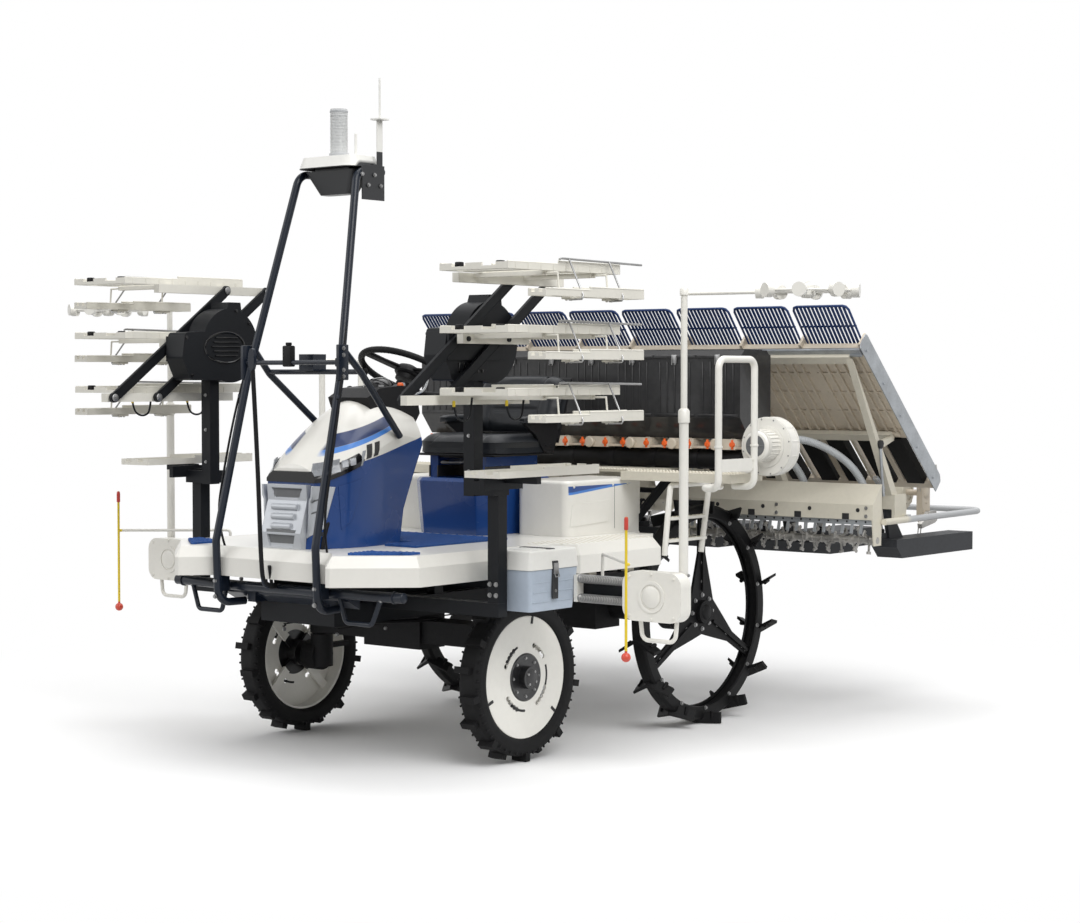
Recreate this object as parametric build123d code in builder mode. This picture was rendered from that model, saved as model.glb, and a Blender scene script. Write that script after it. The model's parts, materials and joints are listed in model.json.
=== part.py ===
"""Eight-row riding rice transplanter, in millimetres.

X runs forward, Y to the left and Z up.  The origin is on the ground, under the
middle of the machine's length and width.  Places along X are measured from the
rear axle (REAR_X) or the front axle (FRONT_X), heights from the ground.
"""
from math import atan2, cos, degrees, pi, radians, sin, tan
import os

from build123d import *

os.makedirs("parts", exist_ok=True)

# ---------------------------------------------------------------- driving sizes
WHEELBASE = 1200
FRONT_OVERHANG = 846          # front axle to the corners of the deck
REAR_OVERHANG = 1440          # rear axle to the guard pipe behind the planting unit
REAR_X = (REAR_OVERHANG - WHEELBASE - FRONT_OVERHANG) / 2
FRONT_X = REAR_X + WHEELBASE

FRONT_TRACK = 1180
FRONT_WHEEL_D = 650
FRONT_TYRE_W = 100
REAR_TRACK = 1210
REAR_WHEEL_D = 950
REAR_RIM_W = 60

ROWS = 8
ROW_PITCH = 300
UNIT_HALF = ROWS * ROW_PITCH / 2   # half the width of the planting unit

DECK_TOP = 830                # tread height of the floor
DECK_WALL = 6
DECK_HALF = 650               # half the width of the floor at the wheels
PLATFORM_TOP = 1085           # height of the rear platform

GAP = 0.3                     # between pieces that only touch
RUNNING = 1                   # round a shaft that turns
SIDES = (-1, 1)               # right, left


# ---------------------------------------------------------------- small helpers
def bar(points, radius, bend=0):
    """Sweep a round bar through points into the open part; bend is the corner radius."""
    with BuildLine() as path:
        if len(points) > 2 and bend:
            FilletPolyline(*points, radius=bend)
        else:
            Polyline(*points)
    with BuildSketch(Plane(origin=points[0], z_dir=path.line % 0)) as ring:
        Circle(radius)
    sweep(sections=ring.sketch, path=path.line, transition=Transition.RIGHT)


def flat_bar(start, end, width, thickness, mode=Mode.ADD):
    """A flat bar of rounded ends between two pins that lie in one XZ plane."""
    dx, dz = end[0] - start[0], end[2] - start[2]
    plane = Plane(origin=start, x_dir=(dx, 0, dz), z_dir=(0, 1, 0))
    with BuildSketch(plane) as outline:
        with Locations(((dx ** 2 + dz ** 2) ** 0.5 / 2, 0)):
            SlotCenterToCenter((dx ** 2 + dz ** 2) ** 0.5, width)
    extrude(outline.sketch, thickness / 2, both=True, mode=mode)


def block(x, y, z, mode=Mode.ADD):
    """A box between the low and the high value of each axis."""
    centre = tuple((low + high) / 2 for low, high in (x, y, z))
    with Locations(centre):
        Box(x[1] - x[0], y[1] - y[0], z[1] - z[0], mode=mode)


def disc(centre, radius, length, axis=(0, 1, 0), mode=Mode.ADD):
    """A cylinder about axis with its middle at centre."""
    with BuildSketch(Plane(origin=centre, z_dir=axis)) as ring:
        Circle(radius)
    extrude(ring.sketch, length / 2, both=True, mode=mode)


def side_plate(outline, y_low, y_high, corner=0, mode=Mode.ADD):
    """Extrude an outline of (x, z) points from y_low to y_high."""
    with BuildSketch(Plane.XZ.offset(-y_high)) as face:
        with BuildLine():
            if corner:
                FilletPolyline(*outline, radius=corner, close=True)
            else:
                Polyline(*outline, close=True)
        make_face()
    extrude(face.sketch, y_high - y_low, mode=mode)


def plan_plate(outline, z_low, z_high, corner=0, mode=Mode.ADD):
    """Extrude an outline of (x, y) points from z_low to z_high."""
    with BuildSketch(Plane.XY.offset(z_low)) as face:
        with BuildLine():
            if corner:
                FilletPolyline(*outline, radius=corner, close=True)
            else:
                Polyline(*outline, close=True)
        make_face()
    extrude(face.sketch, z_high - z_low, mode=mode)


def save(piece, name):
    """Label a finished piece and write its STEP file."""
    piece.part.label = name
    export_step(piece.part, f"parts/{name}.step")


# ---------------------------------------------------------------- chassis
RAIL_Y = 170                  # middle of each chassis rail
RAIL_W = 50
RAIL_Z = (540, 620)
RAIL_FRONT = FRONT_X + 600
RAIL_REAR = REAR_X - 90
AXLE_Z = 470                  # middle of the front axle beam
KINGPIN_Y = FRONT_TRACK / 2 - 130
KINGPIN_D = 44
PIN_FOOT_Z = 345
POST_X = FRONT_X + 362        # lower post of each spare seedling rack
POST_Y = 790
POST_W = 50
ARM_Z = (600, 650)            # lateral arm that carries the post
MARKER_X = FRONT_X + 10       # pole of each line marker
MARKER_Y = 1370
MARKER_PIVOT_Z = 690
MARKER_BEAM_Z = (660, 708)
MARKER_BEAM_END = 1165
LINK_FRONT_X = REAR_X - 130   # front pivots of the lift links
LOWER_PIVOT_Z = 560
UPPER_PIVOT_Z = 800
LINK_LENGTH = 560
LINK_ANGLE = 35               # of the raised links, above level
LINK_Y = 130                  # middle of each lift link
LINK_PIN_D = 25
LOWER_ARM_W = 50
UPPER_ARM_W = 40
LINK_T = 16

with BuildPart() as main_frame:
    for side in SIDES:
        y_in = side * RAIL_Y - RAIL_W / 2
        block((RAIL_REAR, RAIL_FRONT), (y_in, y_in + RAIL_W), RAIL_Z)
        # arm to the rack post and the post's foot
        block((POST_X - POST_W / 2, POST_X + POST_W / 2),
              sorted((side * RAIL_Y, side * (POST_Y + POST_W / 2))), ARM_Z)
        # beam out to the line marker
        block((MARKER_X - 30, MARKER_X + 20),
              sorted((side * RAIL_Y, side * MARKER_BEAM_END)), MARKER_BEAM_Z)
        block((MARKER_X - 30, MARKER_X + 20), sorted((side * (RAIL_Y - 20), side * (RAIL_Y + 20))),
              (RAIL_Z[1] - 5, MARKER_BEAM_Z[1]))
        block((POST_X - POST_W / 2, POST_X + POST_W / 2), sorted((side * (RAIL_Y - 20), side * (RAIL_Y + 20))),
              (RAIL_Z[0], ARM_Z[1]))
    for x in (RAIL_FRONT - 60, FRONT_X - 420, REAR_X + 250, RAIL_REAR):
        block((x, x + 60), (-RAIL_Y, RAIL_Y), RAIL_Z)
    # upright bracket for the front pivots of the lift links
    for side in SIDES:
        inner = LINK_Y + LINK_T / 2 + 6
        side_plate([(LINK_FRONT_X - 40, LOWER_PIVOT_Z - 40), (RAIL_REAR + 60, LOWER_PIVOT_Z - 40),
                    (RAIL_REAR + 60, UPPER_PIVOT_Z + 40), (LINK_FRONT_X - 40, UPPER_PIVOT_Z + 40)],
                   *sorted((side * inner, side * (inner + 12))), corner=20)
    for z in (LOWER_PIVOT_Z, UPPER_PIVOT_Z):
        disc((LINK_FRONT_X, 0, z), LINK_PIN_D / 2, 2 * (LINK_Y + LINK_T / 2 + 18))
    # posts that carry the deck
    for x in (FRONT_X + 460, FRONT_X - 380):
        for side in SIDES:
            block((x, x + 50), sorted((side * (RAIL_Y - 20), side * (RAIL_Y + 20))),
                  (RAIL_Z[1], DECK_TOP - DECK_WALL - GAP))

with BuildPart() as axle_beams:
    # front: cast beam that ends in the two kingpin eyes
    block((FRONT_X - 60, FRONT_X + 60), (-KINGPIN_Y + 30, KINGPIN_Y - 30), (AXLE_Z - 45, AXLE_Z + 45))
    block((FRONT_X - 75, FRONT_X + 75), (-150, 150), (AXLE_Z - 70, RAIL_Z[0]))
    for side in SIDES:
        disc((FRONT_X, side * KINGPIN_Y, AXLE_Z + 5), 48, 110, axis=(0, 0, 1))
        disc((FRONT_X, side * KINGPIN_Y, (PIN_FOOT_Z + AXLE_Z) / 2), KINGPIN_D / 2, AXLE_Z - PIN_FOOT_Z,
             axis=(0, 0, 1))
    # rear: gear case, tubes and the hubs of the wheels
    rear_z = REAR_WHEEL_D / 2
    block((REAR_X - 25, REAR_X + 150), (-160, 160), (rear_z - 95, RAIL_Z[0]))
    for side in SIDES:
        disc((REAR_X, side * 300, rear_z), 60, 300)
        disc((REAR_X, side * 462, rear_z), 85, 60)
        disc((REAR_X, side * 530, rear_z), 26, 180)

ENGINE = dict(x=(FRONT_X + 240, FRONT_X + 590), y=(-135, 135), z=(RAIL_Z[1] + GAP, 1010))
GEARBOX = dict(x=(REAR_X + 330, FRONT_X - 430), y=(-140, 140), z=(RAIL_Z[0] - 60, RAIL_Z[1] + 80))

with BuildPart() as engine_block:
    block(ENGINE["x"], ENGINE["y"], ENGINE["z"])
    block(GEARBOX["x"], GEARBOX["y"], GEARBOX["z"])
    # drive tube between the two
    block((GEARBOX["x"][1] - 1, ENGINE["x"][0] + 1), (-60, 60), (RAIL_Z[1] + 10, RAIL_Z[1] + 80))

# ---------------------------------------------------------------- floor
DECK_FRONT = FRONT_X + FRONT_OVERHANG
DECK_BOTTOM = 718
DECK_REAR = REAR_X + 250
CORNER_Y = 410                # where the front corners are cut back
CORNER_BACK = 216             # length of that cut along X
NOTCH_BACK = 101              # depth of the recess between the front corners
NOTCH_Y = 330
REAR_ARCH_R = REAR_WHEEL_D / 2 + 36
HOOD_HALF = 200
HOOD_BACK = FRONT_X + 200     # where the hood meets the floor behind
HOOD_NOSE = FRONT_X + 684
MAT_T = 8
APRON_Z = 788                 # where the upright skirt ends and the sloping rim begins
APRON_SLOPE = 30              # of the rim, from upright
STEP_X = (REAR_X + 500, FRONT_X - 110)   # wider steps at the operator's sides
STEP_HALF = 760

deck_outline = [
    (DECK_FRONT - NOTCH_BACK, NOTCH_Y - 40), (DECK_FRONT, CORNER_Y - 20), (DECK_FRONT, CORNER_Y),
    (DECK_FRONT - CORNER_BACK, DECK_HALF), (STEP_X[1], DECK_HALF), (STEP_X[1] - 60, STEP_HALF),
    (STEP_X[0], STEP_HALF), (STEP_X[0], DECK_HALF), (DECK_REAR, DECK_HALF),
    (DECK_REAR, -DECK_HALF), (STEP_X[0], -DECK_HALF), (STEP_X[0], -STEP_HALF),
    (STEP_X[1] - 60, -STEP_HALF), (STEP_X[1], -DECK_HALF), (DECK_FRONT - CORNER_BACK, -DECK_HALF),
    (DECK_FRONT, -CORNER_Y),
    (DECK_FRONT, -CORNER_Y + 20), (DECK_FRONT - NOTCH_BACK, -NOTCH_Y + 40)]

with BuildPart() as floor_deck:
    with BuildSketch(Plane.XY.offset(DECK_BOTTOM)) as deck_plan:
        with BuildLine():
            Polyline(*deck_outline, close=True)
        make_face()
        fillet(deck_plan.vertices().group_by(Axis.X)[-1], 9)
    extrude(amount=APRON_Z - DECK_BOTTOM)
    # rim that slopes in to the tread
    extrude(floor_deck.faces().sort_by(Axis.Z)[-1], amount=DECK_TOP - APRON_Z, taper=APRON_SLOPE)
    # open underneath
    rim_in = (DECK_TOP - APRON_Z) * tan(radians(APRON_SLOPE))
    with BuildSketch(Plane.XY.offset(DECK_BOTTOM)):
        add(offset(deck_plan.sketch, amount=-DECK_WALL, mode=Mode.PRIVATE))
    extrude(amount=APRON_Z - DECK_BOTTOM - DECK_WALL, mode=Mode.SUBTRACT)
    with BuildSketch(Plane.XY.offset(DECK_BOTTOM)):
        add(offset(deck_plan.sketch, amount=-DECK_WALL - rim_in, mode=Mode.PRIVATE))
    extrude(amount=DECK_TOP - DECK_BOTTOM - DECK_WALL, mode=Mode.SUBTRACT)
    # opening for the engine under the hood
    block((HOOD_BACK + 20, HOOD_NOSE - 60), (-HOOD_HALF + 40, HOOD_HALF - 40),
          (DECK_TOP - 20, DECK_TOP + 20), mode=Mode.SUBTRACT)
    # arches of the rear wheels
    for side in SIDES:
        disc((REAR_X, side * 625, REAR_WHEEL_D / 2), REAR_ARCH_R, 280, mode=Mode.SUBTRACT)

with BuildPart() as deck_mats:
    for side in SIDES:
        plan_plate([(DECK_FRONT - 80, side * 405), (DECK_FRONT - 230, side * 590),
                    (DECK_FRONT - 300, side * 590), (DECK_FRONT - 220, side * 405)],
                   DECK_TOP, DECK_TOP + MAT_T, corner=12)
    # mat round the foot of the hood and over the footwell
    mat_front = HOOD_BACK + 150
    plan_plate([(mat_front, HOOD_HALF + 20), (mat_front, 380), (FRONT_X - 190, 380),
                (FRONT_X - 190, -380), (mat_front, -380), (mat_front, -HOOD_HALF - 20),
                (HOOD_BACK - 20, -HOOD_HALF - 20), (HOOD_BACK - 20, HOOD_HALF + 20)],
               DECK_TOP, DECK_TOP + MAT_T)

# ---------------------------------------------------------------- hood
NOSE_HALF = 104               # half the width of the nose
DOME_Z = 1400
GRILLE_T = 26
DASH_BACK = FRONT_X + 60
WAIST_NOSE = (HOOD_NOSE - 20, 1108)   # line where the white top meets the sides
WAIST_TAIL = (DASH_BACK - 20, 1243)
HOOD_SECTIONS = [             # back from the nose, half width at foot, at shoulder, shoulder, crown
    (20, 100, 104, 1085, 1112), (95, 152, 154, 1104, 1172), (170, 184, 190, 1134, 1236),
    (260, 194, 204, 1172, 1312), (360, 186, 198, 1212, 1378), (450, 168, 182, 1240, DOME_Z),
    (560, 150, 162, 1236, 1388), (640, 140, 150, 1220, 1360)]
# lean of the nose and of the tail, seen from the side
NOSE_LINE = [(HOOD_NOSE - GRILLE_T, DECK_TOP), (HOOD_NOSE - 48, 990), (HOOD_NOSE - 60, 1130), (HOOD_NOSE - 80, 1190)]
TAIL_LINE = [(HOOD_BACK, DECK_TOP), (HOOD_BACK - 20, 960), (DASH_BACK + 44, 1120), (DASH_BACK, 1205),
             (DASH_BACK, DOME_Z + 20)]


def hood_form(grow):
    """The closed outer form of the hood, grown outwards by grow."""
    with BuildPart() as form:
        sections = []
        for back, foot, shoulder, shoulder_z, crown_z in HOOD_SECTIONS:
            with BuildSketch(Plane.YZ.offset(HOOD_NOSE - back)) as section:
                with BuildLine():
                    half = shoulder + grow
                    rise = crown_z - shoulder_z
                    Polyline((-half, shoulder_z), (-foot - grow, DECK_TOP), (foot + grow, DECK_TOP), (half, shoulder_z))
                    Spline((half, shoulder_z), (half - 0.2 * shoulder, shoulder_z + 0.48 * rise),
                           (0.42 * shoulder, shoulder_z + 0.86 * rise + grow), (0, crown_z + grow),
                           (-0.42 * shoulder, shoulder_z + 0.86 * rise + grow),
                           (-half + 0.2 * shoulder, shoulder_z + 0.48 * rise), (-half, shoulder_z))
                make_face()
            sections.append(section.sketch)
        loft(sections=sections)
        nose = [(x + grow, z) for x, z in NOSE_LINE]
        side_plate([(HOOD_NOSE, DECK_TOP - 1), *nose, (nose[-1][0], DOME_Z), (HOOD_NOSE, DOME_Z)],
                   -300, 300, mode=Mode.SUBTRACT)
        tail = [(x - grow, z) for x, z in TAIL_LINE]
        side_plate([(DASH_BACK - 60, DECK_TOP - 1), (tail[0][0], DECK_TOP - 1), *tail, (DASH_BACK - 60, DOME_Z + 20)],
                   -300, 300, mode=Mode.SUBTRACT)
    return form.part


hood_shape = hood_form(0)
waist_slope = (WAIST_TAIL[1] - WAIST_NOSE[1]) / (WAIST_NOSE[0] - WAIST_TAIL[0])


def above_waist(drop):
    """Outline, seen from the side, of all that is above the waist line, moved down by drop."""
    return [(WAIST_NOSE[0] + 100, WAIST_NOSE[1] - 100 * waist_slope - drop),
            (WAIST_TAIL[0] - 100, WAIST_TAIL[1] + 100 * waist_slope - drop), (WAIST_TAIL[0] - 100, DOME_Z + 50),
            (WAIST_NOSE[0] + 100, DOME_Z + 50)]


with BuildPart() as hood_sides:
    add(hood_shape)
    side_plate(above_waist(GAP), -300, 300, mode=Mode.SUBTRACT)
    # hollow over the engine
    block((ENGINE["x"][0] - 20, ENGINE["x"][1] + 12), (ENGINE["y"][0] - 6, ENGINE["y"][1] + 6),
          (DECK_TOP - 5, ENGINE["z"][1] + 20), mode=Mode.SUBTRACT)

with BuildPart() as hood_top:
    add(hood_shape)
    side_plate(above_waist(0), -300, 300, mode=Mode.INTERSECT)

GRILLE_TOP = 1070

with BuildPart() as front_grille:
    # ribbed nose that leans back, in front of the hood's sides
    side_plate([(HOOD_NOSE - GRILLE_T, DECK_TOP), (HOOD_NOSE - 2, DECK_TOP), (HOOD_NOSE + 2, DECK_TOP + 60),
                (HOOD_NOSE - 34, GRILLE_TOP - 60), (HOOD_NOSE - 30, GRILLE_TOP),
                (HOOD_NOSE - 70, GRILLE_TOP), (HOOD_NOSE - 60, 990)], -NOSE_HALF, NOSE_HALF)
    # sunk panels at the foot and the head, wider at their tops
    for foot_z, head_z, foot_half, head_half, floor_x in (
            (DECK_TOP + 8, DECK_TOP + 52, 62, 74, HOOD_NOSE - 7),
            (GRILLE_TOP - 54, GRILLE_TOP - 14, 58, 82, HOOD_NOSE - 37)):
        with BuildSketch(Plane.YZ.offset(floor_x)):
            Polygon((-foot_half, foot_z), (foot_half, foot_z), (head_half, head_z), (-head_half, head_z), align=None)
        extrude(amount=40, mode=Mode.SUBTRACT)
    # rounded ribs between them, shorter lower down
    for rib in range(3):
        rib_z = DECK_TOP + 84 + rib * 36
        disc((HOOD_NOSE - 6 - rib * 9, 0, rib_z), 12, 100 + rib * 16)
    add(hood_form(GAP), mode=Mode.SUBTRACT)

with BuildPart() as headlamps:
    add(hood_form(5))
    side_plate([(HOOD_NOSE, GRILLE_TOP + 4), (HOOD_NOSE, GRILLE_TOP + 34), (HOOD_NOSE - 90, GRILLE_TOP + 58),
                (HOOD_NOSE - 225, GRILLE_TOP + 116), (HOOD_NOSE - 240, GRILLE_TOP + 90),
                (HOOD_NOSE - 215, GRILLE_TOP + 66), (HOOD_NOSE - 80, GRILLE_TOP + 10)], -300, 300,
               mode=Mode.INTERSECT)
    add(hood_form(GAP), mode=Mode.SUBTRACT)

DASH_TOP = 1440
STEER_CENTRE = (FRONT_X - 25, 0, 1490)
STEER_LEAN = 28               # of the column from vertical
STEER_R = 195
STEER_GRIP = 13
STEER_AXIS = (-sin(radians(STEER_LEAN)), 0, cos(radians(STEER_LEAN)))


def on_column(distance):
    """A point on the steering column, below the middle of the wheel."""
    return tuple(c - distance * a for c, a in zip(STEER_CENTRE, STEER_AXIS))


with BuildPart() as dashboard:
    side_plate([(DASH_BACK + 60, 1240), (DASH_BACK + 20, 1250), (DASH_BACK - 40, 1330),
                (DASH_BACK - 20, DASH_TOP - 30), (DASH_BACK + 60, DASH_TOP),
                (DASH_BACK + 190, DASH_TOP - 10), (DASH_BACK + 262, DOME_Z - 6),
                (DASH_BACK + 240, DOME_Z - 60), (DASH_BACK + 60, DOME_Z - 80)], -105, 105)
    fillet(dashboard.edges().filter_by(Axis.Y).sort_by(Axis.Z)[-3:], 14)
    disc(on_column(110), 32, 120, axis=STEER_AXIS)
    add(hood_form(GAP), mode=Mode.SUBTRACT)
    # small lever on the right
    bar([(DASH_BACK + 40, -100, 1400), (DASH_BACK + 40, -190, 1420)], 6)
    with Locations((DASH_BACK + 40, -200, 1422)):
        Sphere(16)

with BuildPart() as steering_wheel:
    wheel_plane = Plane(origin=STEER_CENTRE, x_dir=(cos(radians(STEER_LEAN)), 0, sin(radians(STEER_LEAN))),
                        z_dir=STEER_AXIS)
    with BuildSketch(Plane(origin=wheel_plane.from_local_coords((STEER_R, 0, 0)), x_dir=wheel_plane.x_dir,
                           z_dir=(0, 1, 0))):
        Circle(STEER_GRIP)
    revolve(axis=Axis(STEER_CENTRE, STEER_AXIS))
    for turn in (90, 210, 330):
        with BuildSketch(wheel_plane) as spoke:
            with Locations(Rotation(0, 0, turn) * Location((STEER_R / 2, 0))):
                Rectangle(STEER_R - 10, 30)
        extrude(spoke.sketch, 4, both=True)
    disc(on_column(10), 42, 50, axis=STEER_AXIS)

# ---------------------------------------------------------------- seat
SEAT_X = (REAR_X + 500, REAR_X + 930)
SEAT_BASE_TOP = 1060
SEAT_Z = 1150
SEAT_HALF = 240

with BuildPart() as seat_base:
    # rounded box in front of the side covers
    with BuildSketch(Plane.XY.offset(SEAT_BASE_TOP)) as base_plan:
        with BuildLine():
            FilletPolyline((SEAT_X[0], -205), (SEAT_X[1] - 30, -205), (SEAT_X[1] + 10, -150),
                           (SEAT_X[1] + 10, 150), (SEAT_X[1] - 30, 205), (SEAT_X[0], 205), radius=24, close=True)
        make_face()
    extrude(amount=DECK_TOP - SEAT_BASE_TOP, taper=5)
    chamfer(seat_base.faces().sort_by(Axis.Z)[-1].edges(), 14)
    # slides that carry the seat
    for side in SIDES:
        block((SEAT_X[0] + 40, SEAT_X[1] - 60), (side * 130 - 22, side * 130 + 22),
              (SEAT_BASE_TOP, SEAT_Z - GAP))

with BuildPart() as seat:
    block((SEAT_X[0], SEAT_X[1] - 20), (-SEAT_HALF, SEAT_HALF), (SEAT_Z, SEAT_Z + 90))
    fillet(seat.edges().filter_by(Axis.Z), 60)
    side_plate([(SEAT_X[0] + 60, SEAT_Z + 60), (SEAT_X[0] - 40, SEAT_Z + 60),
                (SEAT_X[0] - 110, SEAT_Z + 330), (SEAT_X[0] - 40, SEAT_Z + 340)], -SEAT_HALF, SEAT_HALF)
    for side in SIDES:
        block((SEAT_X[0] - 30, SEAT_X[0] + 230), sorted((side * (SEAT_HALF - 50), side * SEAT_HALF)),
              (SEAT_Z + 60, SEAT_Z + 170))

COVER_FRONT = FRONT_X - 440
COVER_REAR = REAR_X + 275
COVER_HALF = 490
COVER_TOP = 1055

with BuildPart() as side_covers:
    for side in SIDES:
        block((COVER_REAR, COVER_FRONT), sorted((side * 215, side * COVER_HALF)),
              (DECK_TOP, COVER_TOP))
    fillet(side_covers.edges().filter_by(Axis.Z).sort_by(Axis.X)[-4:], 40)
    fillet(side_covers.faces().filter_by(Axis.Z).group_by(Axis.Z)[-1].edges(), 16)
    # a real cover is a shell over the tank and the battery
    for side in SIDES:
        block((COVER_REAR + 8, COVER_FRONT - 60), sorted((side * 223, side * (COVER_HALF - 8))),
              (DECK_TOP - 1, COVER_TOP - 20), mode=Mode.SUBTRACT)
    # wheel arch cut from the lower rear corner
    for side in SIDES:
        disc((REAR_X, side * (COVER_HALF + 40), REAR_WHEEL_D / 2), REAR_ARCH_R, 92, mode=Mode.SUBTRACT)

HANDRAIL_X = (REAR_X + 308, REAR_X + 562)
HANDRAIL_Y = 1080
HANDRAIL_TOP = 1543
RAIL_TUBE_R = 14
RAIL_FOOT_Z = PLATFORM_TOP - 36 - RAIL_TUBE_R - GAP
HOPPER_HALF = 880

with BuildPart() as rear_platform:
    # tread behind the seat and the bearer of the fertiliser hoppers
    block((REAR_X - 120, REAR_X + 268), (-480, 480), (PLATFORM_TOP - 12, PLATFORM_TOP))
    block((REAR_X - 60, REAR_X - 10), (-HOPPER_HALF, HOPPER_HALF), (PLATFORM_TOP - 45, PLATFORM_TOP - 10))
    for side in SIDES:
        # bearer and tread out to the handrail
        block((REAR_X + 228, REAR_X + 268), sorted((side * 470, side * 1000)), (PLATFORM_TOP - 40, PLATFORM_TOP - 8))
        block((REAR_X + 268, HANDRAIL_X[0] + 110), sorted((side * (COVER_HALF + 6), side * 1040)),
              (PLATFORM_TOP - 36, PLATFORM_TOP))
        # legs down to the chassis rails
        block((REAR_X + 180, REAR_X + 230), sorted((side * 150, side * 190)), (RAIL_Z[1] + GAP, PLATFORM_TOP - 10))
        block((RAIL_REAR, RAIL_REAR + 50), sorted((side * 160, side * 190)), (RAIL_Z[1] + GAP, PLATFORM_TOP - 10))
    # slots between the treads
    for column in range(7):
        block((REAR_X + 20, REAR_X + 170), (-430 + column * 130, -380 + column * 130),
              (PLATFORM_TOP - 20, PLATFORM_TOP + 1), mode=Mode.SUBTRACT)

# ---------------------------------------------------------------- front bumper and mast
BUMPER_X = HOOD_NOSE
BUMPER_Z = 678
BUMPER_R = 19
BUMPER_HALF = 600
ROD_X = FRONT_X + 781
ROD_TOP = 1570
MAST_R = 15
MAST_FOOT_Y = 264
MAST_TOP_Z = 2255
MAST_TOP_Y = 152

with BuildPart() as front_bumper:
    bar([(BUMPER_X - 24, -BUMPER_HALF, BUMPER_Z), (BUMPER_X, -250, BUMPER_Z),
         (BUMPER_X, 250, BUMPER_Z), (BUMPER_X - 24, BUMPER_HALF, BUMPER_Z)], BUMPER_R, 600)
    for side in SIDES:
        # step loop under the bumper
        bar([(BUMPER_X - 12, side * 500, BUMPER_Z - 8), (BUMPER_X - 6, side * 460, BUMPER_Z - 105),
             (BUMPER_X - 6, side * 330, BUMPER_Z - 105), (BUMPER_X - 2, side * 300, BUMPER_Z - 8)], 9, 22)
        block((RAIL_FRONT, BUMPER_X - 10), (side * RAIL_Y - 20, side * RAIL_Y + 20),
              (BUMPER_Z - 60, BUMPER_Z + 10))
    # pan between the rails and the bumper
    side_plate([(RAIL_FRONT + 4, BUMPER_Z - 62), (BUMPER_X - 20, BUMPER_Z - 30),
                (BUMPER_X - 14, BUMPER_Z - 8), (RAIL_FRONT + 4, BUMPER_Z - 20)], -330, 330)

    # aiming rod in the middle, with an oval target
    bar([(BUMPER_X + BUMPER_R - 6, 0, BUMPER_Z + 6), (ROD_X, 0, BUMPER_Z + 12), (ROD_X + 22, 0, 1180),
         (ROD_X + 44, 0, ROD_TOP - 60)], 4.5, 40)
    with BuildSketch(Plane(origin=(ROD_X + 46, 0, ROD_TOP - 32), x_dir=(0, 1, 0), z_dir=(1, 0, 0))):
        Ellipse(16, 42)
    extrude(amount=7, both=True)

MAST_SIDE = [                 # x from the bumper, half width, height: up one leg of the mast
    (-50, MAST_FOOT_Y - 16, BUMPER_Z - 63), (74, MAST_FOOT_Y, BUMPER_Z - 63),
    (84, MAST_FOOT_Y, BUMPER_Z + 175), (-64, 246, 1460), (-258, MAST_TOP_Y, MAST_TOP_Z),
    (-400, MAST_TOP_Y, MAST_TOP_Z)]
BRACE_TOP = (FRONT_X + 600, 236, 1580)
BRACE_ELBOW = (FRONT_X + 500, 246, 1485)
BRACE_FOOT = (HOOD_NOSE - 452, 191, 1245)

with BuildPart() as front_mast:
    for side in SIDES:
        bar([(BUMPER_X + dx, side * y, z) for dx, y, z in MAST_SIDE], MAST_R, 55)
        # brace from the mast down to the hood's side
        bar([(BRACE_TOP[0] - 12, side * BRACE_TOP[1], BRACE_TOP[2] - 5),
             (BRACE_ELBOW[0], side * BRACE_ELBOW[1], BRACE_ELBOW[2]),
             (BRACE_FOOT[0], side * BRACE_FOOT[1], BRACE_FOOT[2])], 13, 60)
        # clamp plate at the bumper
        block((BUMPER_X + BUMPER_R - 1 + GAP, BUMPER_X + 74), sorted((side * (MAST_FOOT_Y - 4), side * (MAST_FOOT_Y + 4))),
              (BUMPER_Z - 20, BUMPER_Z + 40))
    # cross bars
    bar([(BRACE_ELBOW[0] + 4, -240, BRACE_ELBOW[2] + 8), (BRACE_ELBOW[0] + 4, 240, BRACE_ELBOW[2] + 8)], 10)
    bar([(BUMPER_X - 385, -MAST_TOP_Y, MAST_TOP_Z), (BUMPER_X - 385, MAST_TOP_Y, MAST_TOP_Z)], MAST_R - 4)
    # bracket and cross bar instrument
    block((BRACE_ELBOW[0] - 30, BRACE_ELBOW[0] + 40), (-45, 30), (1496, 1560))
    add(hood_form(GAP), mode=Mode.SUBTRACT)

HEAD_X = (BUMPER_X - 390, BUMPER_X - 250)
HEAD_Z = (2172, 2262)
HEAD_HALF = 130

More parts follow.
